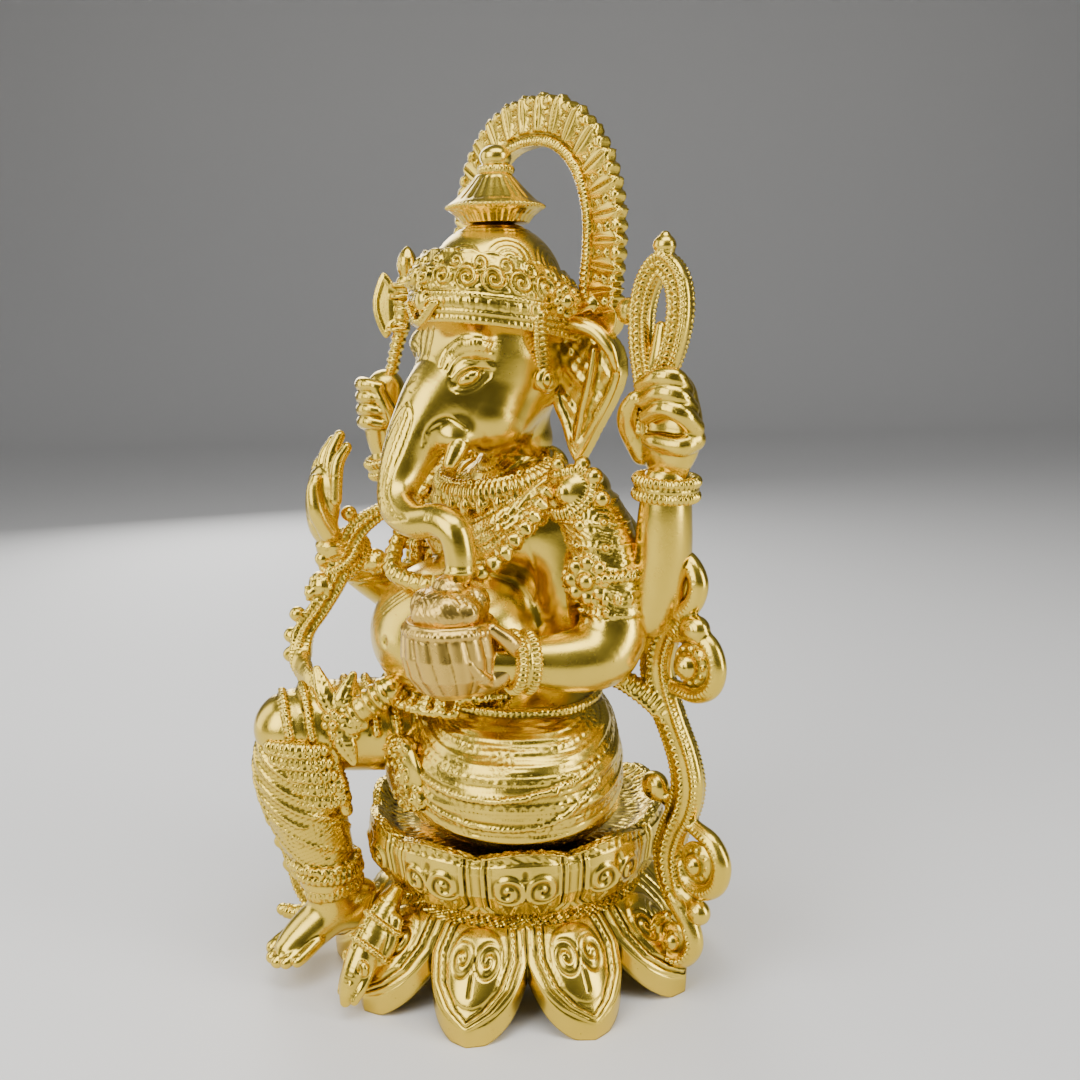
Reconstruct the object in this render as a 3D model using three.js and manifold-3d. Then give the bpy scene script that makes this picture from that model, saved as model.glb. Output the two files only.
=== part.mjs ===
// Seated four-armed elephant-headed figure on a lotus pedestal, cast brass. Millimetres, +Z up, the figure faces -Y.
import * as THREE from 'three';
import Module from 'manifold-3d';

const wasm = await Module();
wasm.setup();
const { Manifold, Mesh } = wasm;

// ---------------------------------------------------------------- driving dimensions
const GAP = 0.34;             // clearance left between pieces that touch
const PETALS = 10;            // petals per tier
const SKIRT_TIP = 76;         // radius of the down-turned tips
const SKIRT_VALLEY = 53;      // radius of the notch between two tips
const SKIRT_TOP = 46;         // radius of the junction between the two tiers
const SKIRT_BORE = 37;        // opening through the skirt
const JOINT_Z = 35;           // height of the junction
const SEAT_R = 61.5;          // largest radius of the seat
const DISH_Z = 59;            // floor of the dish
const RIM_Z = 66;             // rim of the seat
const FACET_TOL = 0.1;        // how far merged facets may move the surface
const WALL = 4.6;             // casting wall of the pedestal
const BOLT_R = 4;             // seat bolt shank
const BAND_W = 19;            // radial width of the halo
const HALO_T = 5.5;           // thickness of the halo

const V = (x, y, z) => new THREE.Vector3(x, y, z);

// ---------------------------------------------------------------- mesh helpers
// Closed body from rings of equal length; the first and last ring are capped, or joined when loop is set.
function skin(rings, loop = false) {
  const n = rings[0].length;
  const pos = [];
  const idx = [];
  for (const ring of rings) for (const p of ring) pos.push(p.x, p.y, p.z);
  const m = rings.length;
  const last = loop ? m : m - 1;
  for (let i = 0; i < last; i++) {
    for (let j = 0; j < n; j++) {
      const a = i * n + j;
      const b = i * n + ((j + 1) % n);
      const c = ((i + 1) % m) * n + j;
      const d = ((i + 1) % m) * n + ((j + 1) % n);
      idx.push(a, b, d, a, d, c);
    }
  }
  if (!loop) {
    for (const [row, flip] of [[0, true], [m - 1, false]]) {
      const mid = V(0, 0, 0);
      for (const p of rings[row]) mid.add(p);
      mid.divideScalar(n);
      const k = pos.length / 3;
      pos.push(mid.x, mid.y, mid.z);
      for (let j = 0; j < n; j++) {
        const a = row * n + j;
        const b = row * n + ((j + 1) % n);
        if (flip) idx.push(b, a, k);
        else idx.push(a, b, k);
      }
    }
  }
  return solid(pos, idx);
}

function solid(pos, idx) {
  const mesh = new Mesh({ numProp: 3, vertProperties: new Float32Array(pos), triVerts: new Uint32Array(idx) });
  mesh.merge();
  const body = Manifold.ofMesh(mesh);
  if (body.volume() < 0) {
    const turned = [];
    for (let i = 0; i < idx.length; i += 3) turned.push(idx[i], idx[i + 2], idx[i + 1]);
    const again = new Mesh({ numProp: 3, vertProperties: new Float32Array(pos), triVerts: new Uint32Array(turned) });
    again.merge();
    return Manifold.ofMesh(again);
  }
  return body;
}

// Body swept along a smooth line. r is a list of radii, each a number or [side, up]; up is the direction of the second.
function limb(points, radii, g = 0, { seg = 10, step = 2, up = V(0, -1, 0), square = 1, phase = 0 } = {}) {
  const curve = new THREE.CatmullRomCurve3(points.map((p) => V(...p)), false, 'centripetal');
  const spans = points.length - 1;
  const rings = [];
  const pair = (r) => (Array.isArray(r) ? r : [r, r]);
  for (let i = 0; i <= spans * step; i++) {
    const t = i / (spans * step);
    const f = t * spans;
    const k = Math.min(Math.floor(f), spans - 1);
    const w = f - k;
    const p = curve.getPoint(t);
    const d = curve.getTangent(t).normalize();
    if (i === 0) p.addScaledVector(d, -g);
    if (i === spans * step) p.addScaledVector(d, g);
    const side = V(0, 0, 0).crossVectors(d, up);
    if (side.length() < 0.05) side.crossVectors(d, V(0.3, 0.2, 1));
    side.normalize();
    const top = V(0, 0, 0).crossVectors(side, d).normalize();
    const a = pair(radii[k]);
    const b = pair(radii[k + 1]);
    const rs = a[0] + (b[0] - a[0]) * w + g;
    const ru = a[1] + (b[1] - a[1]) * w + g;
    const ring = [];
    for (let j = 0; j < seg; j++) {
      const q = (2 * Math.PI * (j + phase)) / seg;
      const c = Math.cos(q);
      const s = Math.sin(q);
      const cx = Math.sign(c) * Math.abs(c) ** square;
      const sx = Math.sign(s) * Math.abs(s) ** square;
      ring.push(p.clone().addScaledVector(side, rs * cx).addScaledVector(top, ru * sx));
    }
    rings.push(ring);
  }
  return skin(rings);
}

// Upright body from levels [z, centre x, centre y, half width, half depth].
function stack(levels, g = 0, { seg = 20, square = 1 } = {}) {
  return skin(levels.map(([z, cx, cy, a, b], i) => {
    const zz = z + (i === 0 ? -g : i === levels.length - 1 ? g : 0);
    const ring = [];
    for (let j = 0; j < seg; j++) {
      const q = (2 * Math.PI * j) / seg;
      const c = Math.cos(q);
      const s = Math.sin(q);
      ring.push(V(cx + (a + g) * Math.sign(c) * Math.abs(c) ** square, cy + (b + g) * Math.sign(s) * Math.abs(s) ** square, zz));
    }
    return ring;
  }));
}

// Ellipsoid with optional turn, degrees about X, Y, Z.
function blob(centre, radius, g = 0, { turn = [0, 0, 0], nu = 10, nv = 6 } = {}) {
  const r = Array.isArray(radius) ? radius : [radius, radius, radius];
  const geo = new THREE.SphereGeometry(1, nu, nv);
  const m = new THREE.Matrix4().compose(V(...centre),
    new THREE.Quaternion().setFromEuler(new THREE.Euler(...turn.map((d) => (d * Math.PI) / 180))),
    V(r[0] + g, r[1] + g, r[2] + g));
  geo.applyMatrix4(m);
  return fromGeometry(geo);
}

function fromGeometry(geo) {
  const g = geo.clone();
  const p = g.attributes.position;
  const key = new Map();
  const pos = [];
  const map = [];
  for (let i = 0; i < p.count; i++) {
    const k = [p.getX(i), p.getY(i), p.getZ(i)].map((v) => Math.round(v * 1e4)).join();
    if (!key.has(k)) {
      key.set(k, pos.length / 3);
      pos.push(p.getX(i), p.getY(i), p.getZ(i));
    }
    map.push(key.get(k));
  }
  const raw = g.index ? Array.from(g.index.array) : map.map((_, i) => i);
  const idx = [];
  for (let i = 0; i < raw.length; i += 3) {
    const [a, b, c] = [map[raw[i]], map[raw[i + 1]], map[raw[i + 2]]];
    if (a !== b && b !== c && a !== c) idx.push(a, b, c);
  }
  return solid(pos, idx);
}

// Merges needless small facets: a vertex is drawn into a neighbour where the surface moves by less than tol.
function thin(vert, tri, tol) {
  const P = [];
  for (let i = 0; i < vert.length; i += 3) P.push(V(vert[i], vert[i + 1], vert[i + 2]));
  const faces = [];
  const at = P.map(() => new Set());
  for (let i = 0; i < tri.length; i += 3) {
    const f = [tri[i], tri[i + 1], tri[i + 2]];
    for (const v of f) at[v].add(faces.length);
    faces.push(f);
  }
  const normal = (a, b, c) => V(0, 0, 0).crossVectors(P[b].clone().sub(P[a]), P[c].clone().sub(P[a]));
  const near = (v) => {
    const out = new Set();
    for (const f of at[v]) for (const w of faces[f]) if (w !== v) out.add(w);
    return out;
  };
  for (let pass = 0; pass < 6; pass++) {
    let moved = 0;
    for (let v = 0; v < P.length; v++) {
      if (!at[v].size) continue;
      const around = near(v);
      let best = null;
      for (const u of around) {
        let common = 0;
        for (const w of near(u)) if (around.has(w)) common++;
        if (common !== 2) continue;
        const length = P[u].distanceTo(P[v]);
        const short = length < tol;
        let fits = true;
        const kept = [];
        for (const f of at[v]) {
          if (faces[f].includes(u)) continue;
          const next = faces[f].map((w) => (w === v ? u : w));
          const was = normal(...faces[f]);
          const now = normal(...next);
          const area = now.length();
          const longest = Math.max(P[next[0]].distanceTo(P[next[1]]), P[next[1]].distanceTo(P[next[2]]), P[next[2]].distanceTo(P[next[0]]));
          const slim = was.length() < 0.02;
          if (area / longest < 0.06 || (!slim && now.dot(was) < 0.9 * area * was.length())) {
            fits = false;
            break;
          }
          kept.push([next, now.divideScalar(area)]);
        }
        if (!fits || kept.length < 2) continue;
        const worst = Math.max(...kept.map(([next, n]) => Math.abs(P[v].clone().sub(P[u]).dot(n))));
        if (!short && worst > tol) continue;
        if (best === null || length < best.length) best = { u, length };
      }
      if (best === null) continue;
      const { u } = best;
      for (const f of [...at[v]]) {
        if (faces[f].includes(u)) {
          for (const w of faces[f]) at[w].delete(f);
          faces[f] = null;
        } else {
          faces[f] = faces[f].map((w) => (w === v ? u : w));
          at[u].add(f);
          at[v].delete(f);
        }
      }
      moved++;
    }
    if (!moved) break;
  }
  const index = new Map();
  const pos = [];
  const idx = [];
  for (const f of faces) {
    if (!f) continue;
    for (const w of f) {
      if (!index.has(w)) {
        index.set(w, pos.length / 3);
        pos.push(P[w].x, P[w].y, P[w].z);
      }
      idx.push(index.get(w));
    }
  }
  return [pos, idx];
}

// Flat plate from an outline [x, z], lying across Y from y0 to y1.
function plate(outline, y0, y1, g = 0) {
  const cx = outline.reduce((s, p) => s + p[0], 0) / outline.length;
  const cz = outline.reduce((s, p) => s + p[1], 0) / outline.length;
  const shape = new THREE.Shape(outline.map(([x, z]) => {
    const d = Math.hypot(x - cx, z - cz);
    const k = (d + g) / d;
    return new THREE.Vector2(cx + (x - cx) * k, cz + (z - cz) * k);
  }));
  const geo = new THREE.ExtrudeGeometry(shape, { depth: y1 - y0 + 2 * g, bevelEnabled: false });
  geo.rotateX(Math.PI / 2);
  geo.translate(0, y1 + g, 0);
  return fromGeometry(geo);
}

const join = (...list) => list.flat().reduce((a, b) => a.add(b));

// Round body about +Z at (cx, cy) from [radius, z] points; closed to the axis at both ends.
function turned(profile, cx, cy, g = 0, seg = 20, wave = null) {
  return skin(profile.map(([r, z], i) => {
    const zz = z + (i === 0 ? -g : i === profile.length - 1 ? g : 0);
    const ring = [];
    for (let j = 0; j < seg; j++) {
      const q = (2 * Math.PI * j) / seg;
      const k = wave ? wave(q, i) : 1;
      ring.push(V(cx + (r * k + g) * Math.cos(q), cy + (r * k + g) * Math.sin(q), zz));
    }
    return ring;
  }));
}

// ---------------------------------------------------------------- pedestal
const azimuth = (az, r, z) => V(r * Math.sin(az), -r * Math.cos(az), z);

function lotusSkirt(g = 0) {
  const per = 6;
  const count = PETALS * per;
  const pitch = (2 * Math.PI) / PETALS;
  const rows = [];
  const rim = (az) => {
    const t = Math.abs(((az / pitch + 0.5) % 1) - 0.5) * 2;
    return [SKIRT_VALLEY + (SKIRT_TIP - SKIRT_VALLEY) * (1 - t * t) ** 0.9, t];
  };
  const height = (r, t) => {
    const s = (r - SKIRT_TOP) / (SKIRT_TIP - SKIRT_TOP);
    return JOINT_Z + 1 - 1.5 * t - (JOINT_Z - 4.5) * s ** 1.35;
  };
  const along = [0, 0.3, 0.6, 0.85, 1];
  const outer = along.map((s) => (az) => {
    const [R, t] = rim(az);
    const r = SKIRT_TOP + (R - SKIRT_TOP) * s;
    return [r + g * s, Math.max(height(r, t * s), 5.2) + g];
  });
  const foot = [0.4, 4.5].map((back) => (az) => {
    const [R, t] = rim(az);
    return [R - back + (back < 1 ? g : -g), Math.max(height(R, t) - 8.2, 0) - g];
  });
  const inner = along.slice(0, -1).reverse().map((s) => (az) => {
    const [R, t] = rim(az);
    const r = SKIRT_TOP + (R - SKIRT_TOP) * s;
    return [r - 3 - g, height(r, t * s) - WALL - 0.8 - g];
  });
  const top = [() => [SKIRT_BORE - g, JOINT_Z + g], () => [SKIRT_TOP, JOINT_Z + g]];
  const under = [() => [SKIRT_BORE - g, JOINT_Z - WALL - g]];
  for (const row of [...top, ...outer, ...foot, ...inner, ...under]) {
    const ring = [];
    for (let j = 0; j < count; j++) {
      const az = (2 * Math.PI * j) / count;
      const [r, z] = row(az);
      ring.push(azimuth(az, r, z));
    }
    rows.push(ring);
  }
  return skin(rows, true);
}

function lotusSeat(g = 0) {
  const per = 4;
  const count = PETALS * per;
  const lobe = (az) => Math.abs(Math.cos((PETALS / 2) * (az - Math.PI / PETALS)));
  const rowsOut = [[38, JOINT_Z + GAP + 0.05 - g, 0, 0], [46.5 + g, JOINT_Z + GAP + 0.05 - g, 0, 0], [55.5 + g, 41, 0.05, 0], [SEAT_R - 1 + g, 49, 0.06, 0],
    [SEAT_R + g, 58, 0.05, 0], [60.3 + g, RIM_Z - 1, 0.045, 2.6]];
  const rowsIn = [[56.6 - g, RIM_Z - 0.4 + g, 0.045, 2.2], [50, 61 + g, 0.02, 0], [38, DISH_Z + g, 0, 0], [BOLT_R + 0.6 - g, DISH_Z + g, 0, 0],
    [BOLT_R + 0.6 - g, DISH_Z - WALL - g, 0, 0], [38, DISH_Z - WALL - g, 0, 0], [49, DISH_Z - WALL + 0.6, 0, 0], [55 - g, 52.5, 0.05, 0],
    [50.5 - g, 44.6, 0.03, 0], [38, 40, 0, 0]];
  return skin([...rowsOut, ...rowsIn].map(([r, z, k, lift]) => {
    const ring = [];
    for (let j = 0; j < count; j++) {
      const az = (2 * Math.PI * j) / count;
      const w = lobe(az);
      ring.push(azimuth(az, r * (1 - k * (1 - w ** 0.7)), z + lift * (w - 0.5) * 1.6));
    }
    return ring;
  }), true);
}

const WASHER_TOP = DISH_Z - WALL - GAP;
const seatWasher = (g = 0) => skin([[9, 0], [9, 1.8], [4.4, 1.8], [4.4, 0]].map(([r, dz], i) => {
  const ring = [];
  for (let j = 0; j < 20; j++) ring.push(azimuth((2 * Math.PI * j) / 20, r + (i < 2 ? g : -g), WASHER_TOP - 1.8 + dz + (i === 1 || i === 2 ? g : -g)));
  return ring;
}), true);

function seatBolt(g = 0) {
  const headTop = WASHER_TOP - 1.8 - GAP;
  const head = skin([[6.4, headTop - 5.3], [7.2, headTop - 4.8], [7.2, headTop]].map(([r, z], i) => {
    const ring = [];
    for (let j = 0; j < 6; j++) ring.push(azimuth((2 * Math.PI * j) / 6, r + g, z + (i === 2 ? g : i === 0 ? -g : 0)));
    return ring;
  }));
  const shank = turned([[BOLT_R, headTop - 1], [BOLT_R, 81], [BOLT_R - 1, 82]], 0, 0, g, 12);
  return join(head, shank);
}

const mouse = (g = 0) => join(
  limb([[-3.5, -56.5, 42], [-3, -62, 36], [-2, -69, 27.5], [-1, -76, 18.5], [-0.5, -80.5, 11.5], [0, -84, 6.6]],
    [[2.2, 2], [5.2, 5], [8.2, 7], [7.2, 6], [5, 4.4], [1.8, 1.8]], g, { seg: 8, up: V(0, -0.7, 0.7), step: 1 }),
  blob([5.2, -77.5, 20], [2.8, 1.6, 3.2], g, { nu: 6, nv: 4 }),
  blob([-6.6, -77.5, 20], [2.8, 1.6, 3.2], g, { nu: 6, nv: 4 }));

// ---------------------------------------------------------------- body
const lap = (g = 0) => stack([[DISH_Z + GAP + 0.05, 4, -5, 26, 23], [64, 9, -10, 38, 32], [72, 12, -13, 44.5, 38], [84, 12.5, -14, 47, 40],
  [96, 11.5, -13, 47, 39], [107, 9, -9, 42.5, 35], [115, 5, -5, 36, 29], [119, 2, -2, 30, 24]], g, { seg: 18, square: 0.9 });

const rightThigh = (g = 0) => limb([[-12, -18, 97], [-24, -40, 99], [-36, -63, 101], [-42, -77, 102], [-43.5, -82, 101]],
  [[18, 18], [18.5, 19], [17.5, 18.5], [13.5, 15], [6, 7]], g, { seg: 10, step: 1, up: V(0, 0, 1) });

const rightShin = (g = 0) => limb([[-41.5, -76, 98], [-42, -76, 84], [-40, -73, 66], [-36.5, -69.5, 50], [-34.5, -68, 40]],
  [[15, 14], [17, 16], [15.5, 15], [12.5, 12.5], [12.2, 12]], g, { seg: 10, step: 1, up: V(0.77, -0.64, 0) });

const toes = [[-45.5, -88.5, 12, 3.2], [-40, -92, 11.5, 2.7], [-35.4, -92.6, 11.6, 2.5], [-31.2, -91, 12.2, 2.3], [-27.6, -88, 13, 2.1]];
const rightFoot = (g = 0) => join(
  limb([[-29, -56.5, 31], [-33, -64, 27.5], [-36, -73, 22], [-37.5, -81, 17], [-37, -86.5, 13.6]],
    [[5, 6], [8.5, 9.5], [10, 9], [11, 6.2], [9.5, 3.6]], g, { seg: 10, up: V(0, -0.55, 0.83), step: 1 }),
  ...toes.map(([x, y, z, r]) => limb([[x * 0.9 - 3.6, y + 9, z + 3.4], [x, y + 3, z + 0.6], [x, y, z]], [r, r, r * 0.75], g,
    { seg: 6, step: 1, up: V(0, 0, 1) })));

const kneePleats = (g = 0) => join(...[0, 1, 2, 3, 4].map((i) =>
  limb([[-35.5 + i * 0.4, -90 + i * 1.6, 99 - i * 5.2], [-27 + i * 0.6, -83 + i * 1.6, 98.5 - i * 5.2], [-22 + i * 0.4, -74 + i * 1.5, 97.5 - i * 5.2]],
    [2.4, 3.3, 2.2], g, { seg: 6, step: 1, up: V(0, 0, 1) })));

const lapOrnament = (g = 0) => join(
  blob([0, -54.5, 89], [12.5, 3.6, 14], g, { turn: [6, 0, -8], nu: 8, nv: 5 }),
  blob([-6, -50, 96], [6.5, 5, 6], g, { nu: 8, nv: 5 }), blob([3, -54, 89], [6, 5, 6], g, { nu: 8, nv: 5 }),
  blob([1, -53, 99.5], [5.5, 4.5, 4.5], g, { nu: 8, nv: 5 }), blob([10, -53, 82], [5.5, 5, 5.5], g, { nu: 8, nv: 5 }),
  blob([-8, -48, 84], [6.5, 4.5, 6.5], g, { nu: 8, nv: 5 }), blob([0, -50, 77], [6, 5, 5], g, { nu: 8, nv: 5 }));

const torso = (g = 0) => join(
  blob([-4, -20, 137], [39, 36, 30], g, { nu: 14, nv: 9 }),
  stack([[114, 0, 4, 30, 20], [128, 0, 3, 35, 23], [150, 0, 2, 35, 23], [172, 0, 2, 36, 22], [186, 0, 3, 38, 19], [196, 0, 4, 34, 16], [204, 0, 5, 20, 13],
    [209, 0, 5, 14, 11]], g, { seg: 14 }));

const ringLine = (cx, cy, cz, a, b, tilt, n, from = 0, to = 360) => {
  const line = [];
  for (let i = 0; i <= n; i++) {
    const q = ((from + ((to - from) * i) / n) * Math.PI) / 180;
    line.push([cx + a * Math.sin(q), cy - b * Math.cos(q), cz + tilt * Math.cos(q)]);
  }
  return line;
};
const closedRing = (cx, cy, cz, a, b, tilt, ru, rz, g, n = 20, seg = 5) => {
  const rings = [];
  for (let i = 0; i < n; i++) {
    const q = (2 * Math.PI * i) / n;
    const out = V(Math.sin(q), -Math.cos(q), 0);
    const c = V(cx + a * Math.sin(q), cy - b * Math.cos(q), cz + tilt * Math.cos(q));
    const ring = [];
    for (let j = 0; j < seg; j++) {
      const w = (2 * Math.PI * j) / seg;
      ring.push(c.clone().addScaledVector(out, (ru + g) * Math.cos(w)).add(V(0, 0, (rz + g) * Math.sin(w))));
    }
    rings.push(ring);
  }
  return skin(rings, true);
};
// Ring about a free axis: centre, axis, radius, section half width across and along the axis.
const cuff = (centre, axis, radius, ru, ra, g, n = 12, seg = 5) => {
  const k = V(...axis).normalize();
  const e = V(0, 0, 0).crossVectors(k, Math.abs(k.z) > 0.8 ? V(0, -1, 0) : V(0, 0, 1)).normalize();
  const f = V(0, 0, 0).crossVectors(k, e);
  const rings = [];
  for (let i = 0; i < n; i++) {
    const q = (2 * Math.PI * i) / n;
    const out = e.clone().multiplyScalar(Math.cos(q)).addScaledVector(f, Math.sin(q));
    const ring = [];
    for (let j = 0; j < seg; j++) {
      const w = (2 * Math.PI * (j + 0.5)) / seg;
      ring.push(V(...centre).addScaledVector(out, radius + (ru + g) * Math.cos(w)).addScaledVector(k, (ra + g) * Math.sin(w)));
    }
    rings.push(ring);
  }
  return skin(rings, true);
};

const collar = (g = 0) => closedRing(0, -4, 197, 25, 19, -5.5, 6, 4.5, g, 18, 5);

const garlandLine = [[36, -10, 196], [39, -20, 187], [37.5, -29, 177.5], [33, -36, 169.5], [25, -42, 165], [14, -46.5, 162.5], [1, -48, 162],
  [-12, -46, 163], [-23, -39, 167], [-31, -29, 174.5], [-36, -19, 184], [-36, -9, 194]];
const garland = (g = 0) => {
  const curve = new THREE.CatmullRomCurve3(garlandLine.map((p) => V(...p)), false, 'centripetal');
  const beads = 15;
  const line = [];
  const radii = [];
  for (let i = 0; i <= 2 * beads; i++) {
    line.push(curve.getPointAt(i / (2 * beads)).toArray());
    radii.push(i % 2 ? 3.9 : 1.9);
  }
  return limb(line, radii, g, { seg: 6, step: 1, up: V(0, -0.6, 0.8) });
};

const shoulderOrnament = (s) => (g = 0) => join(
  blob([s * 43, 0, 194], [9, 12, 9], g, { turn: [0, s * 35, 0], nu: 10, nv: 6 }),
  blob([s * 51.5, -2, 200], 3.6, g, { nu: 6, nv: 4 }), blob([s * 55.5, -2, 192.5], 3.6, g, { nu: 6, nv: 4 }),
  blob([s * 45.5, -2, 204], 3.2, g, { nu: 6, nv: 4 }), blob([s * 55.5, -4, 184], 3.4, g, { nu: 6, nv: 4 }));

// ---------------------------------------------------------------- head
const head = (g = 0) => join(
  blob([0, -4, 243], [27.5, 29.5, 31], g, { nu: 16, nv: 10 }),
  limb([[0, -16, 236], [0, -27, 226], [-0.5, -34, 218]], [[23, 17], [20, 15], [13, 10]], g, { seg: 12, step: 1, up: V(0, 0.6, 0.8) }),
  stack([[203, 0, 4, 15, 12], [225, 0, 2, 17, 15]], g, { seg: 10 }));

const trunk = (g = 0) => limb([[-0.8, -33, 222], [-2, -41, 210.5], [-3, -47.5, 199.5], [0.5, -51.5, 190], [8, -52.5, 186], [17, -51, 186.5], [25, -49.5, 187],
  [31, -48.5, 183.5], [33, -48, 176], [33, -48, 169.5]],
[[12.5, 11.5], [11.2, 10.5], [10, 10], [8.8, 9], [7.4, 7.6], [6.2, 6.4], [6, 6], [6, 6], [5.6, 5.6], [5.4, 5.4]], g, { seg: 8, up: V(0.15, 0.2, 1) });

const tusk = (s, len) => (g = 0) => limb([[s * 12.5, -30, 214], [s * 13.5, -34, 209.5], [s * 14, -34 - 3 * len, 209.5 - 4 * len]], [4.4, 3.9, 2.4], g,
  { seg: 8, step: 1, up: V(0, 0, 1) });

const earOutline = [[17, 244], [22, 250.5], [31, 253.5], [40, 250.5], [46, 243], [46.5, 234], [42.5, 225], [36.5, 215], [31.5, 206], [28.5, 202], [25, 207],
  [22, 216], [18, 226]];
const ear = (s) => (g = 0) => join(
  plate(earOutline.map(([x, z]) => [s * x, z]), 8, 12.4, g),
  limb([[s * 21, 8, 250], [s * 31, 5.6, 252.6], [s * 41, 5.6, 248.6], [s * 45.5, 7, 240.5]], [2.2, 3, 2.9, 1.8], g, { seg: 6, step: 1, up: V(0, -1, 0) }));

const crownBand = (g = 0) => skin([[31, 251, 0], [33.4, 251, 0], [34.4, 259, 0], [33, 268, 0], [29, 276, 0], [25.5, 276, 0]].map(([r, z], i) => {
  const ring = [];
  for (let j = 0; j < 18; j++) {
    const q = (2 * Math.PI * j) / 18;
    const rise = 3.6 * Math.cos(q);
    ring.push(V((r + (i === 0 || i === 5 ? -g : g)) * Math.sin(q) * 0.93, -3 - (r + (i === 0 || i === 5 ? -g : g)) * Math.cos(q), z + rise + (i < 2 ? -g : i > 3 ? g : 0)));
  }
  return ring;
}), true);

const crownDome = (g = 0) => stack([[262, 0, -3.5, 24.5, 26], [272, 0, -4, 24.6, 26.2], [280, 0, -4, 22.5, 24], [286, 0, -3.5, 19, 20], [290.5, 0, -3, 14.5, 14.5]], g,
  { seg: 16 });

const crownBrim = (g = 0) => turned([[12, 290.8], [14.5, 293], [17.6, 295], [18.2, 296.4], [17.4, 297.6], [12.4, 299], [9, 302.4], [6.9, 306.4], [6, 307.6]], 0, -2.6, g, 16);

const crownFinial = (g = 0) => turned([[5.4, 307.9], [7, 309], [7, 310.6], [4.6, 311.8], [5.3, 313.6], [5.1, 315.8], [3.2, 318], [1.2, 318.8]], 0.2, -2, g, 10);

const rosette = (s) => (g = 0) => join(
  blob([s * 31.5, 1.5, 261], [6.2, 6.2, 6.2], g, { nu: 8, nv: 6 }), blob([s * 36.5, -0.5, 261], 3.2, g, { nu: 6, nv: 4 }));

const earring = (s) => (g = 0) => join(
  limb([[s * 29.5, -7, 256], [s * 29, -6.5, 248], [s * 26.5, -3, 238.5]], [[3, 2.4], [3.2, 2.4], [2.8, 2.2]], g, { seg: 6, step: 1, up: V(s, 0, 0) }),
  blob([s * 27, -2, 233.5], [3.4, 5.4, 5.4], g, { nu: 8, nv: 6 }));

const haloLine = [[38, 256], [36.5, 266], [38.5, 279], [38.5, 294], [34, 308.5], [25.5, 319.5], [13.5, 326.5], [-1, 328.6]];
const halo = (g = 0) => {
  const line = [...haloLine, ...haloLine.slice(0, -1).reverse().map(([x, z]) => [-2 - x, z])];
  const w = BAND_W / 2;
  const widths = line.map((_, i) => (i === 0 || i === line.length - 1 ? w - 2 : w));
  return join(
    limb(line.map(([x, z]) => [x, 17, z]), widths.map((q) => [q, HALO_T / 2]), g, { seg: 8, step: 2, up: V(0, -1, 0), square: 0.55, phase: 0.5 }),
    ...[1, -1].map((s) => limb([[s * 33, 14.5, 260], [s * 24, 12, 256], [s * 14, 9, 252]], [[3.4, 5], [3.6, 5], [3.6, 5]], g, { seg: 6, step: 1, up: V(0, 0, 1) })));
};

// ---------------------------------------------------------------- arms
const armLfUpper = (g = 0) => limb([[35, 1, 192], [46, 3, 182], [53, 4, 164], [55, 3, 146], [54, 0, 138]], [[10, 11], [12, 13], [11.5, 12], [11.5, 12], [9, 9]], g, { seg: 9, step: 1 });
const armLfFore = (g = 0) => limb([[56, 3, 142], [55, -4, 136], [51, -16, 135], [46, -29, 136.5], [42, -38, 137.5]],
  [[10.5, 10.5], [12.5, 12], [11, 10.8], [8.6, 8.4], [7.6, 7.2]], g, { seg: 9, step: 1, up: V(0, 0, 1) });
const handLf = (g = 0) => join(
  limb([[43.5, -35, 137], [39, -43, 134], [34, -52, 131.5]], [[7, 6], [9.5, 6], [7.5, 4.4]], g, { seg: 8, up: V(0.2, 0, 1), step: 1 }),
  ...[0, 1, 2, 3].map((i) => limb([[40 - i * 4, -38 - i * 4.6, 130 - i * 0.2], [45.4 - i * 3, -49 - i * 4, 134.5], [46 - i * 3.6, -55 - i * 3.6, 141]], [2.9, 2.7, 2.1], g,
    { seg: 6, step: 1, up: V(0, 0, 1) })),
  limb([[46, -33, 140], [48.5, -39, 146], [46, -45, 151.5]], [3.6, 3.2, 2.3], g, { seg: 6, step: 1 }));

const armLrUpper = (g = 0) => limb([[34, 10, 190], [46, 13.5, 174], [55, 15.5, 160], [60.5, 16, 151]], [[9.5, 9], [10.5, 10], [11, 10.5], [9, 9]], g, { seg: 9, step: 1 });
const armLrFore = (g = 0) => limb([[59.5, 16, 149], [64.5, 16, 158], [68.5, 15, 172], [70.6, 14, 186], [71.5, 14, 198]],
  [[8.5, 8.5], [11, 10.6], [10.8, 10.2], [9.8, 9.4], [8.6, 8.4]], g, { seg: 9, step: 1 });
const handLr = (g = 0) => join(
  limb([[71.5, 14, 199], [71.8, 14.4, 206], [72, 15, 216], [72.5, 15.4, 226]], [[8, 6.4], [11, 7], [15, 7.6], [12, 6]], g, { seg: 10, up: V(0, -1, 0), step: 1 }),
  ...[0, 1, 2].map((i) => limb([[84.5 - i * 1.5, 12.5 - i, 219 + i * 6], [83 - i * 1.4, 6, 224 + i * 5.4], [72.5 - i, 5, 222 + i * 5.2]], [3.8, 3.6, 2.7], g,
    { seg: 6, step: 1, up: V(0, 0, 1) })),
  limb([[61.5, 10, 214], [60, 6, 222], [63.5, 4.6, 229]], [4.2, 3.8, 2.7], g, { seg: 6, step: 1 }));

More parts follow.
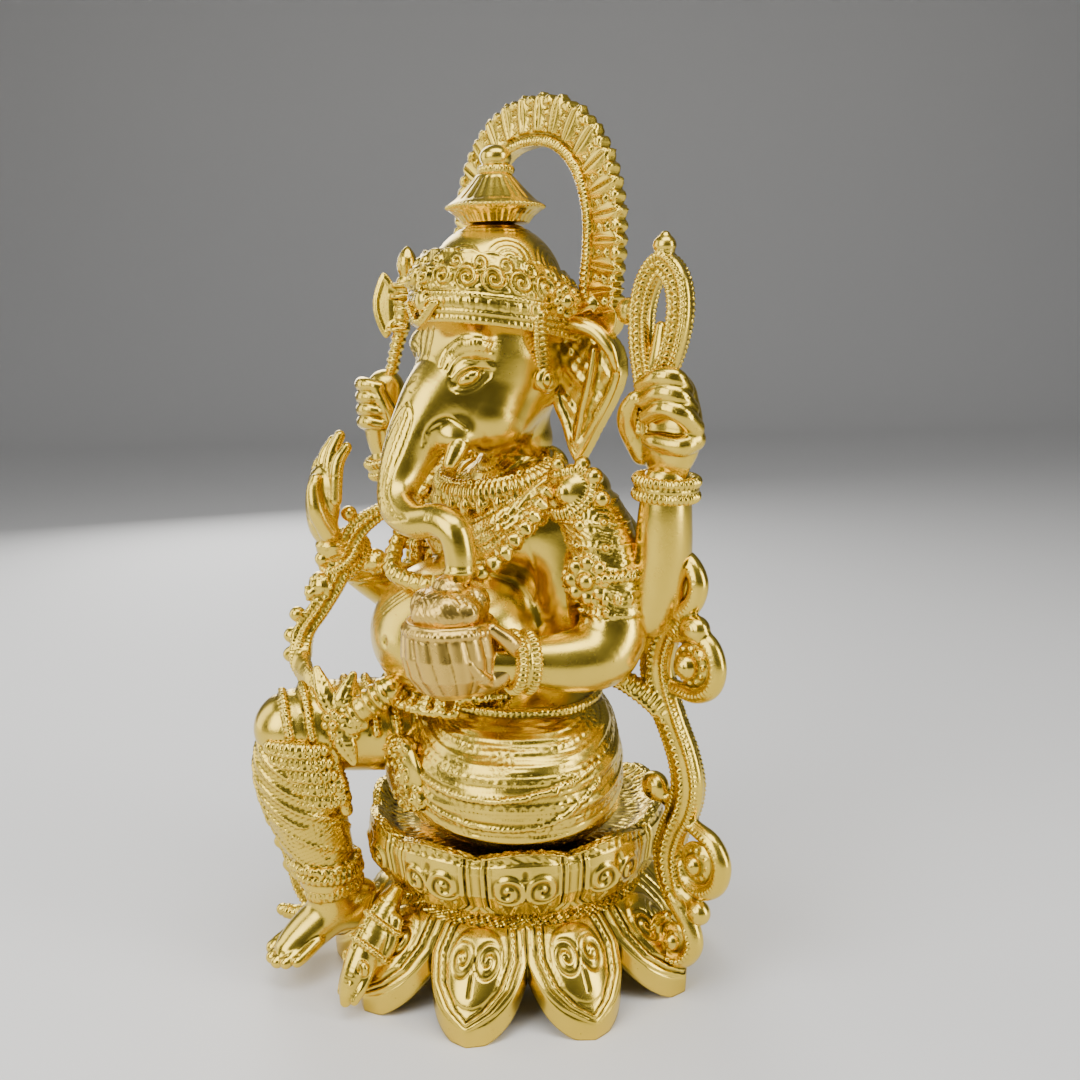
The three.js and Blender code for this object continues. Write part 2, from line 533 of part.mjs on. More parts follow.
const armRfUpper = (g = 0) => limb([[-35, 1, 192], [-46, 3, 182], [-54, 4, 164], [-57, 2, 148], [-57, -2, 140]], [[10, 11], [12, 13], [11.5, 12], [11.5, 12], [9, 9]], g, { seg: 9, step: 1 });
const armRfFore = (g = 0) => limb([[-58, 2, 145], [-58.5, -8, 141], [-58, -22, 149], [-57, -36, 159], [-56, -46, 167]],
  [[10, 10], [12, 11.5], [10.5, 10], [8.6, 8.4], [7.4, 7.2]], g, { seg: 9, step: 1, up: V(0, -0.6, 0.8) });
const handRf = (g = 0) => join(
  limb([[-56, -47, 169], [-56.5, -50, 176], [-56, -50, 185], [-55, -49.5, 193]], [[7, 5.6], [9, 5.8], [10.5, 5.4], [9.6, 4]], g, { seg: 8, up: V(0, -1, 0), step: 1 }),
  ...[[-62.5, 204.5, 2.5], [-57.5, 210.5, 2.7], [-52.3, 212.8, 2.7], [-47.4, 208.5, 2.5]].map(([x, z, r]) =>
    limb([[x, -49.4, 189], [x + 0.6, -47.6, (189 + z) / 2 + 2], [x + 1.6, -43.8, z]], [r, r, r * 0.7], g, { seg: 6, step: 1 })),
  limb([[-49.5, -52, 176], [-50.5, -57.5, 185], [-51, -56.5, 194.5]], [4, 3.6, 2.3], g, { seg: 6, step: 1 }));

const armRrUpper = (g = 0) => limb([[-34, 10, 190], [-46, 12.5, 174], [-56, 13, 160], [-61.5, 12.5, 151]], [[9.5, 9], [10.5, 10], [11, 10.5], [9, 9]], g, { seg: 9, step: 1 });
const armRrFore = (g = 0) => limb([[-60.5, 12.5, 149], [-65.5, 10.5, 158], [-69.5, 4.5, 172], [-71.6, -2, 186], [-72.5, -7, 199]],
  [[8.5, 8.5], [10.6, 10.2], [10, 9.6], [9, 8.8], [7.8, 7.8]], g, { seg: 9, step: 1 });
const handRr = (g = 0) => join(
  limb([[-72.6, -7.5, 201], [-73, -8.5, 207], [-72.5, -9, 217], [-71.5, -8.5, 227], [-70.5, -8, 232]], [[6.6, 6], [8.6, 7], [9.8, 8], [9.4, 7.4], [6, 5]], g, { seg: 10, step: 1 }),
  ...[0, 1, 2, 3].map((i) => limb([[-79, -9, 214 + i * 5.2], [-75.5, -17, 215 + i * 5.2], [-67.5, -16.5, 214.5 + i * 5.2]], [2.9, 2.9, 2.2], g, { seg: 6, step: 1, up: V(0, 0, 1) })));

const bangleLf = (g = 0) => cuff([44.6, -32, 137], [-4, -12, 1.2], 10, 1.9, 3.6, g);
const bangleLr = (g = 0) => cuff([71.3, 14, 196.5], [0.08, 0, 1], 10.6, 2.1, 4, g);
const bangleRf = (g = 0) => cuff([-56.6, -41, 163], [1, -10, 8], 9.6, 1.9, 3.4, g);
const bangleRr = (g = 0) => cuff([-72.4, -6, 196.5], [-0.1, -0.35, 1], 9.8, 1.9, 3.4, g);

const armlet = (s) => (g = 0) => join(
  blob([s * 53.5, -7.5, 164], [9, 4.5, 9], g, { turn: [0, 0, s * 32], nu: 10, nv: 6 }), blob([s * 56, -11.6, 164], 3.4, g, { nu: 6, nv: 4 }));

// ---------------------------------------------------------------- held things
const bowl = (g = 0) => turned([[7, 126.5], [12.5, 129.5], [16.4, 135], [17.6, 142], [17, 149], [15.4, 152.5]], 31, -52, g, 20,
  (q, i) => 1 + (i > 0 && i < 5 ? 0.03 * Math.cos(5 * q) : 0));
const sweets = (g = 0) => join(
  blob([31.5, -52, 157], [14, 14, 9.5], g, { nu: 12, nv: 6 }), blob([26, -58, 158], 5.6, g, { nu: 6, nv: 4 }), blob([37, -46, 159], 5.6, g, { nu: 6, nv: 4 }),
  blob([36.5, -57.5, 157.5], 5, g, { nu: 6, nv: 4 }));
const noose = (g = 0) => join(
  limb([[66, 9.5, 216], [65, 10.5, 231], [62, 12, 245], [61.5, 12.8, 258], [64.5, 13.4, 268], [70.5, 13.6, 272.8], [77, 13.4, 267], [79, 12.8, 257], [76.5, 12, 245], [70, 10.8, 232]],
    [[3.4, 2.6], [4, 3], [4.4, 3], [4.6, 3], [4.8, 3], [4.6, 3], [4.8, 3], [4.6, 3], [4.4, 3], [3.6, 3]], g, { seg: 8, step: 1, up: V(0, -1, 0) }),
  limb([[66, 11.2, 232], [69, 12, 243]], [[3.4, 2.6], [3.6, 2.4]], g, { seg: 6, step: 1 }),
  blob([71, 13.6, 278.2], [4.6, 4, 4.2], g, { nu: 8, nv: 6 }), blob([54.6, 12.6, 256.6], [4.6, 3.8, 4.4], g, { nu: 8, nv: 6 }));

const bladeOutline = [[0, 6], [-3, 9], [-7, 13.5], [-11, 8], [-12.4, 0], [-11, -8], [-7, -13.5], [-3, -8], [0, -6]];
const axe = (g = 0) => {
  const blade = plate(bladeOutline, -1.8, 1.8, g).transform(
    new THREE.Matrix4().makeRotationZ((50 * Math.PI) / 180).setPosition(-65.5, -2.2, 262.5).elements);
  return join(
    limb([[-73.2, -11.5, 203], [-71, -8.8, 220], [-68.2, -5.4, 240], [-65.8, -2.4, 258], [-64.3, -0.6, 271]], [3, 2.6, 2.7, 4, 4.4], g, { seg: 8, step: 1 }),
    limb([[-64.3, -0.6, 270], [-64, -0.2, 273.5], [-63.8, 0.1, 279], [-63.6, 0.3, 284], [-63.5, 0.4, 285.4]], [4.8, 2.6, 4.3, 2.4, 0.8], g, { seg: 8, step: 1 }), blade);
};

// ---------------------------------------------------------------- scrolls
const strip = (line, radii, g, extra = {}) => limb(line, radii, g, { seg: 6, step: 1, up: V(0, -1, 0), ...extra });
const SY = 20;
const inPlane = (list) => list.map(([x, z]) => [x, SY, z]);
const disc = (x, z, r, t, g) => blob([x, SY, z], [r, t, r], g, { nu: 8, nv: 4, turn: [90, 0, 0] });
const scrollLeft = (g = 0) => join(
  strip(inPlane([[73, 150], [79, 155.5], [81, 163], [76.5, 169.4], [69, 171], [61.5, 168], [58.6, 161], [61.5, 154.6], [67.5, 152]]),
    [[3.6, 3.6], [3.6, 3.6], [3.6, 3.6], [3.6, 3.6], [3.6, 3.6], [3.4, 3.4], [3.2, 3.2], [2.8, 2.8], [1.8, 2]], g),
  disc(69.5, 161.5, 9.4, 2.4, g), blob([69.5, SY - 2, 161.5], 5.4, g, { nu: 6, nv: 4 }),
  strip(inPlane([[75, 153], [69, 147], [63.4, 139], [61, 129], [63.4, 118], [69, 107], [74, 97], [76.4, 87], [74.5, 77], [69.6, 67], [66.6, 57], [67.6, 47], [71.5, 38.5], [77.5, 31],
    [79.5, 23.5], [75, 16.5], [68, 14.6], [61.6, 18.5], [61, 26], [66, 30.5]]),
  [[3.6, 3.4], [5, 3.6], [6.4, 3.8], [7, 3.8], [6.8, 3.8], [6.2, 3.8], [6.4, 3.8], [6.6, 3.8], [6.4, 3.8], [6, 3.8], [6, 3.8], [5.6, 3.6], [4.4, 3.6], [3.6, 3.6], [3.4, 3.4],
    [3.2, 3.2], [3.2, 3.2], [3, 3], [2.6, 2.8], [2, 2]], g),
  blob([80.4, SY - 1, 146], [6.2, 5, 5.4], g, { nu: 6, nv: 4 }),
  strip(inPlane([[71, 142], [79, 144], [86.5, 141], [90, 133.5], [87.5, 125.6], [80, 121.5], [70, 122]]), [3, 3.2, 3.4, 3.4, 3.4, 3.2, 3].map((r) => [r, r + 0.4]), g),
  disc(79, 132, 9, 2.2, g), blob([76.5, SY - 2, 132.5], [5.8, 5, 5.4], g, { nu: 6, nv: 4 }),
  blob([60.6, SY - 1, 81.5], [6.4, 4.4, 6], g, { nu: 6, nv: 4 }), strip(inPlane([[62, 80], [70, 76]]), [[3, 3], [3, 3]], g),
  strip(inPlane([[73, 74], [80, 70.6], [88, 67.6], [92.6, 60.5], [90.6, 52], [83.4, 47], [76, 49], [73.6, 55]]), [2.6, 3, 3.4, 3.6, 3.6, 3.4, 3, 2.2].map((r) => [r, r + 0.6]), g),
  disc(81.5, 57.5, 9, 2.2, g), blob([81.5, SY - 2, 57.5], [3.6, 4, 3.6], g, { nu: 6, nv: 4 }),
  blob([82.5, SY - 1, 38.6], [5, 4.4, 5], g, { nu: 6, nv: 4 }), strip(inPlane([[72, 44], [80, 40]]), [[3, 3], [3, 3]], g),
  disc(70.4, 23, 7.4, 2.2, g), blob([70.4, SY - 2, 22.6], [4, 4, 4], g, { nu: 6, nv: 4 }),
  limb([[50, 4, 126.5], [55, 9, 123.5], [60, 14.5, 118], [65.5, 19, 112]], [[4, 3.6], [4.2, 3.4], [4.4, 3.4], [4.4, 3.2]], g, { seg: 6, step: 1 }));

const vineRight = (g = 0) => join(
  limb([[-42, -29, 182.5], [-48.5, -38, 175], [-52, -43, 165], [-54, -47, 154], [-57, -53, 143], [-59.5, -59.5, 133.5], [-55.5, -64, 124.5], [-46, -67.5, 121], [-35, -69.5, 119], [-26, -69, 112]],
    [[2.6, 2.6], [4.4, 3], [4.8, 3], [4.8, 3], [4.2, 3], [4.2, 3], [4.4, 3], [4, 3], [3.6, 3], [3, 3]], g, { seg: 6, step: 1, up: V(0.77, -0.64, 0) }),
  ...[[-50, -43, 181, 3.2], [-56.5, -49.5, 170.5, 3.4], [-58.5, -53, 163, 3.6], [-61, -58.5, 149, 2.8], [-64.5, -64, 139.5, 3], [-65.6, -66, 131.5, 3.2], [-62, -67.5, 124, 3.4]].map(
    ([x, y, z, r]) => blob([x, y, z], r, g, { nu: 6, nv: 4 })),
  blob([-58, -51.5, 151.5], [6.5, 5, 6], g, { nu: 6, nv: 4 }), blob([-46, -33, 160.5], [6, 5, 5.5], g, { nu: 6, nv: 4 }),
  limb([[-52, -41, 160], [-46, -34, 159]], [3, 3], g, { seg: 6, step: 1 }),
  blob([-22, -68, 107], [5, 5, 5], g, { nu: 6, nv: 4 }),
  ...[[[-31, -70.5, 126], [4, 3.4]], [[-20.5, -61, 124], [4, 3.6]], [[-13.5, -61.5, 106], [4.6, 3.6]], [[-32, -77, 101], [4.6, 3.4]], [[-16, -65.5, 92], [4.6, 3.6]],
    [[-24.5, -70.5, 88], [4.6, 3.6]]].map(([end, r]) => limb([[-22, -68, 107], [(-22 + end[0]) / 2, (-68 + end[1]) / 2, (107 + end[2]) / 2], end], [2.4, r[0], r[1] * 0.5], g,
    { seg: 6, step: 1, up: V(0.77, -0.64, 0) })),
  limb([[-24, -70, 90], [-22, -68.5, 80], [-21, -66.5, 71]], [3.6, 4, 2], g, { seg: 6, step: 1 }),
  limb([[-21, -66, 107], [-14, -60, 113], [-8, -53, 119.5]], [3.6, [6.4, 5], [7, 5.6]], g, { seg: 6, step: 1 }));

const scrollRight = (g = 0) => join(
  limb([[-58, -58, 94], [-66.5, -64, 84], [-71, -68.5, 72], [-71.5, -69, 60], [-70, -67.5, 47], [-68.5, -65, 34], [-67, -63, 22], [-63, -60, 13], [-60.5, -64, 9]],
    [[3.6, 3.4], [4.6, 3.4], [4.8, 3.4], [4.6, 3.4], [4.4, 3.4], [4.2, 3.4], [4, 3.4], [4.4, 4], [3.4, 3.4]], g, { seg: 6, step: 1, up: V(0.77, -0.64, 0) }),
  ...[[-74.5, -73, 80, 3], [-77, -76, 70.5, 3.4], [-77.4, -76, 61.5, 3.2], [-75.6, -73.6, 52, 3.2], [-73.6, -71, 42, 3.2], [-71, -69, 32, 3.2]].map(([x, y, z, r]) => blob([x, y, z], r, g,
    { nu: 6, nv: 4 })),
  limb([[-61, -61, 12], [-67, -67, 10.6], [-72, -71.6, 12]], [[3.4, 4], [3.4, 4], [2.4, 3]], g, { seg: 6, step: 1, up: V(0, 0, 1) }),
  limb([[-64.5, -61, 20], [-56, -54, 16.5], [-47, -47.5, 15]], [[3.4, 3.4], [3.2, 3.2], [3, 3]], g, { seg: 6, step: 1, up: V(0, 0, 1) }),
  limb([[-60, -59, 95], [-53, -60, 97], [-47, -62, 99]], [[3.4, 3.6], [3.6, 3.6], [3.6, 3.6]], g, { seg: 6, step: 1, up: V(0, 0, 1) }));

// ---------------------------------------------------------------- assembly
// Earlier pieces keep their shape; each later one is cut back from them with the clearance.
const pieces = [
  ['lotus_skirt', lotusSkirt, 'brass'], ['lotus_seat', lotusSeat, 'brass'], ['seat_washer', seatWasher, 'steel'], ['seat_bolt', seatBolt, 'steel'],
  ['lap', lap, 'brass'], ['right_thigh', rightThigh, 'brass'], ['right_shin', rightShin, 'brass'], ['right_foot', rightFoot, 'brass'],
  ['mouse', mouse, 'brass'],
  ['torso', torso, 'brass'], ['head', head, 'brass'], ['trunk', trunk, 'brass'],
  ['tusk_left', tusk(1, 1.15), 'brass'], ['tusk_right', tusk(-1, 0.3), 'brass'],
  ['crown_dome', crownDome, 'brass'], ['crown_band', crownBand, 'brass'], ['crown_brim', crownBrim, 'brass'], ['crown_finial', crownFinial, 'brass'],
  ['ear_left', ear(1), 'brass'], ['ear_right', ear(-1), 'brass'], ['rosette_left', rosette(1), 'brass'], ['rosette_right', rosette(-1), 'brass'],
  ['earring_left', earring(1), 'brass'], ['earring_right', earring(-1), 'brass'], ['halo', halo, 'brass'],
  ['arm_lf_upper', armLfUpper, 'brass'], ['arm_lf_fore', armLfFore, 'brass'], ['arm_lr_upper', armLrUpper, 'brass'], ['arm_lr_fore', armLrFore, 'brass'],
  ['arm_rf_upper', armRfUpper, 'brass'], ['arm_rf_fore', armRfFore, 'brass'], ['arm_rr_upper', armRrUpper, 'brass'], ['arm_rr_fore', armRrFore, 'brass'],
  ['bowl', bowl, 'rose'], ['sweets', sweets, 'rose'],
  ['hand_lf', handLf, 'rose'], ['noose', noose, 'brass'], ['hand_lr', handLr, 'brass'], ['hand_rf', handRf, 'brass'],
  ['axe', axe, 'brass'], ['hand_rr', handRr, 'brass'],
  ['bangle_lf', bangleLf, 'brass'], ['bangle_lr', bangleLr, 'brass'], ['bangle_rf', bangleRf, 'brass'], ['bangle_rr', bangleRr, 'brass'],
  ['collar', collar, 'brass'], ['shoulder_ornament_left', shoulderOrnament(1), 'brass'], ['shoulder_ornament_right', shoulderOrnament(-1), 'brass'],
  ['armlet_left', armlet(1), 'brass'], ['armlet_right', armlet(-1), 'brass'], ['garland', garland, 'brass'],
  ['lap_ornament', lapOrnament, 'brass'], ['knee_pleats', kneePleats, 'brass'],
  ['scroll_left', scrollLeft, 'brass'], ['vine_right', vineRight, 'brass'], ['scroll_right', scrollRight, 'brass'],
];

const COLOURS = { brass: 0xc9a227, rose: 0xb98a3a, steel: 0x8d8f91 };
const meets = (a, b) => [0, 1, 2].every((k) => a.min[k] < b.max[k] && b.min[k] < a.max[k]);

const group = new THREE.Group();
const grown = [];
for (const [name, make, alloy] of pieces) {
  let body = make(0);
  const box = body.boundingBox();
  for (const other of grown) {
    if (!meets(box, other.box)) continue;
    if (other.name === 'seat_bolt' && name !== 'lap') continue;
    if (body.intersect(other.body).volume() < 1e-4) continue;
    body = body.subtract(other.body);
  }
  const parts = body.decompose().sort((a, b) => b.volume() - a.volume());
  body = parts[0];
  const fat = make(GAP);
  grown.push({ name, body: fat, box: fat.boundingBox() });
  const mesh = body.getMesh();
  const geo = new THREE.BufferGeometry();
  const [pos, idx] = thin(mesh.vertProperties, mesh.triVerts, FACET_TOL);
  geo.setAttribute('position', new THREE.BufferAttribute(Float32Array.from(pos), 3));
  geo.setIndex(new THREE.BufferAttribute(Uint32Array.from(idx), 1));
  geo.computeVertexNormals();
  const node = new THREE.Mesh(geo, new THREE.MeshStandardMaterial({ name: alloy, color: COLOURS[alloy], metalness: 1, roughness: alloy === 'steel' ? 0.45 : 0.3 }));
  node.name = name;
  group.add(node);
}

// Origin: middle of the footprint box, on the floor.
const bounds = new THREE.Box3().setFromObject(group);
const shift = V(-(bounds.min.x + bounds.max.x) / 2, -(bounds.min.y + bounds.max.y) / 2, -bounds.min.z);
for (const node of group.children) node.geometry.translate(shift.x, shift.y, shift.z);
group.name = 'deity_statue';

export default group;
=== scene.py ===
import math

import bpy
import numpy as np
from mathutils import Matrix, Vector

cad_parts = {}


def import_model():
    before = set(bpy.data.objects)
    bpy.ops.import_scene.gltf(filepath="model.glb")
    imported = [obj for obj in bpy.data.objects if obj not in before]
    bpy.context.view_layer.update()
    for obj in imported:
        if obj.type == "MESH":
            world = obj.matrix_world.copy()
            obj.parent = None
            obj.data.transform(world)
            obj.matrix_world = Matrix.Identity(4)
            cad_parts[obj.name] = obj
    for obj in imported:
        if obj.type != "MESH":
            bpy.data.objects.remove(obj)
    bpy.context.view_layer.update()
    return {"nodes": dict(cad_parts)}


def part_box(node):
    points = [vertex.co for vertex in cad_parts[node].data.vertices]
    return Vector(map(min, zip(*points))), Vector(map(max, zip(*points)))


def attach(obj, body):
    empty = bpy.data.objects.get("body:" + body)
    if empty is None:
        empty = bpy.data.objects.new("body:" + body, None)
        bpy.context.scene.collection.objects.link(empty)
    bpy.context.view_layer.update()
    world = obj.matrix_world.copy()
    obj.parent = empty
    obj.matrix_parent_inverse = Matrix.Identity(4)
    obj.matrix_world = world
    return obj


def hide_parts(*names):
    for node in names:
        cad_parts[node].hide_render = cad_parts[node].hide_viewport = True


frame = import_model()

MM = 0.001
TURN = 2 * math.pi

# Every place below is in millimetres from the pedestal's axis on the floor, the figure facing -Y.
_lo, _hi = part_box("seat_bolt")
AXIS = np.array([(_lo[0] + _hi[0]) / 2, (_lo[1] + _hi[1]) / 2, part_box("lotus_skirt")[0][2]])


# ---------------------------------------------------------------- clay: a signed distance field on a grid
def vec(p):
    return np.asarray(p, dtype=np.float64)


def unit(v):
    v = vec(v)
    return v / max(np.linalg.norm(v), 1e-9)


def smooth_line(points, step=1.2, closed=False):
    """Catmull-Rom line through the points. Extra columns, such as a radius, follow along."""
    p = vec(points)
    if len(p) == 2 and not closed:
        n = max(2, int(np.linalg.norm(p[1, :3] - p[0, :3]) / step) + 1)
        t = np.linspace(0, 1, n)[:, None]
        return p[0] * (1 - t) + p[1] * t
    q = np.vstack([p[-1], p, p[:2]]) if closed else np.vstack([2 * p[0] - p[1], p, 2 * p[-1] - p[-2]])
    out = []
    for i in range(1, len(q) - 2):
        a, b, c, d = q[i - 1], q[i], q[i + 1], q[i + 2]
        n = max(2, int(np.linalg.norm(c[:3] - b[:3]) / step) + 1)
        t = np.linspace(0, 1, n, endpoint=False)[:, None]
        out.append(0.5 * (2 * b + (c - a) * t + (2 * a - 5 * b + 4 * c - d)
            * t ** 2 + (3 * b - 3 * c + d - a) * t ** 3))
    out.append(q[-2][None] if not closed else p[:1])
    return np.vstack(out)


def walk(line, pitch):
    """Points at equal spacing along a line, with the tangent at each."""
    line = vec(line)
    seg = np.linalg.norm(np.diff(line[:, :3], axis=0), axis=1)
    s = np.concatenate([[0], np.cumsum(seg)])
    n = max(1, int(round(s[-1] / pitch)))
    at = (np.arange(n) + 0.5) * s[-1] / n
    p = np.stack([np.interp(at, s, line[:, k]) for k in range(line.shape[1])], 1)
    q = np.stack([np.interp(np.minimum(at + 0.3, s[-1]), s, line[:, k]) for k in range(3)], 1)
    r = np.stack([np.interp(np.maximum(at - 0.3, 0), s, line[:, k]) for k in range(3)], 1)
    t = q - r
    return p, t / np.maximum(np.linalg.norm(t, axis=1), 1e-9)[:, None]


def turn_matrix(rx=0, ry=0, rz=0):
    cx, sx, cy, sy, cz, sz = (f(math.radians(a)) for a in (rx, ry, rz) for f in (math.cos, math.sin))
    mx = np.array([[1, 0, 0], [0, cx, -sx], [0, sx, cx]])
    my = np.array([[cy, 0, sy], [0, 1, 0], [-sy, 0, cy]])
    mz = np.array([[cz, -sz, 0], [sz, cz, 0], [0, 0, 1]])
    return mz @ my @ mx


def turns(count):
    """Angles evenly round a full turn."""
    return np.linspace(0, TURN, count, endpoint=False)


def ring(centre, half, count):
    """Points round an oval. half is half its width, half its depth, and how far its front is raised."""
    x, y, z = centre
    return [(x + half[0] * math.sin(a), y - half[1] * math.cos(a), z + half[2] * math.cos(a))
        for a in turns(count)]


def ribs(height, pitch, phase=0.0):
    """Change of a tube's radius along its length, for ribs across it."""
    return lambda arc: height * np.cos(TURN * arc / pitch + phase)


class Clay:
    """Signed distance on a grid. Shapes are merged into it with a blend of k millimetres."""
    FAR = 5.0

    def __init__(self, lo, hi, h):
        self.h = h
        self.lo = vec(lo)
        n = np.ceil((vec(hi) - self.lo) / h).astype(int) + 1
        self.axes = [(self.lo[k] + h * np.arange(n[k])).astype(np.float32) for k in range(3)]
        self.d = np.full(n, self.FAR, np.float32)

    def window(self, lo, hi, pad):
        out = []
        for k in range(3):
            a = max(int(math.floor((lo[k] - pad - self.lo[k]) / self.h)), 0)
            b = min(int(math.ceil((hi[k] + pad - self.lo[k]) / self.h)) + 1, self.d.shape[k])
            if b - a < 2:
                return None
            out.append(slice(a, b))
        return tuple(out)

    def grid(self, win):
        x, y, z = (self.axes[k][win[k]] for k in range(3))
        return x[:, None, None], y[None, :, None], z[None, None, :]

    def merge(self, win, p, k=0.0, cut=False):
        d = self.d[win]
        if cut:
            d, p = -d, p
        if k > 0:
            w = np.clip(0.5 + 0.5 * (d - p) / k, 0, 1)
            r = d + (p - d) * w - k * w * (1 - w)
        else:
            r = np.minimum(d, p)
        self.d[win] = -r if cut else r

    def ball(self, c, r, k=1.0, turn=None, cut=False):
        """Ellipsoid with half sizes r, turned by degrees about X, Y, Z or by a matrix."""
        c = vec(c)
        r = vec([r] * 3 if np.isscalar(r) else r)
        m = np.eye(3) if turn is None else (turn if isinstance(turn, np.ndarray) else turn_matrix(*turn))
        ext = np.sqrt((m ** 2) @ (r ** 2))
        win = self.window(c - ext, c + ext, k + 2.5)
        if win is None:
            return
        x, y, z = self.grid(win)
        x, y, z = x - c[0], y - c[1], z - c[2]
        k0 = k1 = 0
        for i in range(3):
            q = x * m[0, i] + y * m[1, i] + z * m[2, i]
            k0 = k0 + (q / r[i]) ** 2
            k1 = k1 + (q / r[i] ** 2) ** 2
        k0 = np.sqrt(k0)
        p = (k0 * (k0 - 1) / np.maximum(np.sqrt(k1), 1e-6)).astype(np.float32)
        self.merge(win, p, k, cut)

    def near(self, line, radius, pad, up=None, flat=1.0, want=False):
        """Distance to a tube round the line. With want, also the arc length and side of the nearest point."""
        line = vec(line)
        rad = np.broadcast_to(vec(radius), (len(line),)) if np.ndim(radius) < 2 else radius
        big = float(np.max(rad))
        win = self.window(line[:, :3].min(0) - big, line[:, :3].max(0) + big, pad)
        if win is None:
            return None
        shape = tuple(s.stop - s.start for s in win)
        best = np.full(shape, self.FAR, np.float32)
        arc = np.zeros(shape, np.float32) if want else None
        side = np.zeros(shape, np.float32) if want else None
        s0 = 0.0
        f2 = flat * flat
        for i in range(len(line) - 1):
            a, b = line[i, :3], line[i + 1, :3]
            ab = b - a
            length = float(np.linalg.norm(ab))
            if length < 1e-6:
                continue
            big = max(rad[i], rad[i + 1])
            sub = self.window(np.minimum(a, b) - big, np.maximum(a, b) + big, pad)
            if sub is None:
                s0 += length
                continue
            x, y, z = self.grid(sub)
            x, y, z = x - a[0], y - a[1], z - a[2]
            t = np.clip((x * ab[0] + y * ab[1] + z * ab[2]) / length ** 2, 0, 1)
            vx, vy, vz = x - t * ab[0], y - t * ab[1], z - t * ab[2]
            v2 = vx * vx + vy * vy + vz * vz
            if up is not None and (flat != 1.0 or want):
                u = unit(vec(up) - ab * (vec(up) @ ab) / length ** 2)
                vu = vx * u[0] + vy * u[1] + vz * u[2]
                g = np.sqrt(v2 + (f2 - 1) * vu * vu)
                mv = np.sqrt(v2 + (f2 * f2 - 1) * vu * vu)
                p = (g - (rad[i] + (rad[i + 1] - rad[i]) * t)) * g / np.maximum(mv, 1e-6)
            else:
                vu = None
                p = np.sqrt(v2) - (rad[i] + (rad[i + 1] - rad[i]) * t)
            loc = tuple(slice(sub[k].start - win[k].start, sub[k].stop - win[k].start) for k in range(3))
            old = best[loc]
            closer = p < old
            best[loc] = np.where(closer, p, old)
            if want:
                arc[loc] = np.where(closer, s0 + t * length, arc[loc])
                if vu is not None:
                    w = unit(np.cross(ab, u))
                    ang = np.arctan2(vx * w[0] + vy * w[1] + vz * w[2], vu)
                    side[loc] = np.where(closer, ang, side[loc])
            s0 += length
        return (win, best, arc, side) if want else (win, best)

    def tube(self, points, radii=None, k=1.0, up=None, flat=1.0, mod=None, closed=False):
        """Smooth tube; points are (x, y, z) with radii, or (x, y, z, r). mod(arc) is added to the radius."""
        pts = vec(points)
        if radii is not None:
            pts = np.column_stack([pts, np.broadcast_to(vec(radii), (len(pts),))])
        line = smooth_line(pts, 1.5, closed)
        got = self.near(line, line[:, 3], k + 2.0, up, flat, mod is not None)
        if got is None:
            return
        p = got[1]
        if mod is not None:
            p = p - mod(got[2])
        self.merge(got[0], p, k)

    def sample(self, p):
        """Field and gradient at points."""
        q = (vec(p) - self.lo) / self.h
        q = np.clip(q, 1.001, np.array(self.d.shape) - 2.001)
        i = q.astype(int)
        f = q - i

        def at(off):
            j = i + off
            g = f
            v = 0
            for a in (0, 1):
                for b in (0, 1):
                    for c in (0, 1):
                        w = (g[:, 0] if a else 1 - g[:, 0]) * (g[:, 1] if b else 1
                            - g[:, 1]) * (g[:, 2] if c else 1 - g[:, 2])
                        jj = np.clip(j + (a, b, c), 0, np.array(self.d.shape) - 1)
                        v = v + w * self.d[jj[:, 0], jj[:, 1], jj[:, 2]]
            return v
        g = np.stack([at(np.array(o)) - at(-np.array(o)) for o in ((1, 0, 0), (0, 1, 0), (0, 0, 1))],
            1) / (2 * self.h)
        return at(np.zeros(3, int)), g

    def onto(self, points, lift=0.0):
        """Points moved onto the surface, with the outward normal there."""
        p = vec(points)[:, :3].copy()
        g = np.zeros_like(p)
        for _ in range(6):
            v, g = self.sample(p)
            n = np.linalg.norm(g, axis=1)
            move = np.clip(v, -2, 2) / np.maximum(n, 0.3)
            p -= g / np.maximum(n, 1e-6)[:, None] * move[:, None]
        g = g / np.maximum(np.linalg.norm(g, axis=1), 1e-6)[:, None]
        return p + g * lift, g

    def groove(self, points, width, depth, closed=False, step=0.8, sharp=2.0):
        """Engraved line, or a raised one where depth is negative."""
        line = self.onto(smooth_line(points, step, closed))[0]
        got = self.near(line, np.zeros(len(line)), width + self.h)
        if got is None:
            return
        win, p = got
        self.d[win] += (depth * np.clip(1 - (p / width) ** 2, 0, 1) ** sharp).astype(np.float32)

    def rope(self, points, r, pitch, amp, lift, closed=False, project=True):
        """Cord on the surface, with slanting strands."""
        line = smooth_line(points, 1.0, closed)
        if project:
            line = self.onto(line, lift)[0]
        blend = 0.3
        got = self.near(line, np.full(len(line), r), blend + 1.5, (0, 0, 1), 1.0, True)
        if got is None:
            return
        win, p, arc, side = got
        p = p - amp * np.cos(TURN * arc / pitch + side)
        self.merge(win, p.astype(np.float32), blend)

    def beads(self, points, r, pitch, lift, closed=False, project=True):
        """Row of beads along a line, on the surface unless project is off."""
        line = smooth_line(points, 1.0, closed)
        p = walk(line, pitch)[0]
        if project:
            p = self.onto(p, lift)[0]
        for c in p:
            self.ball(c[:3], r, 0.25)

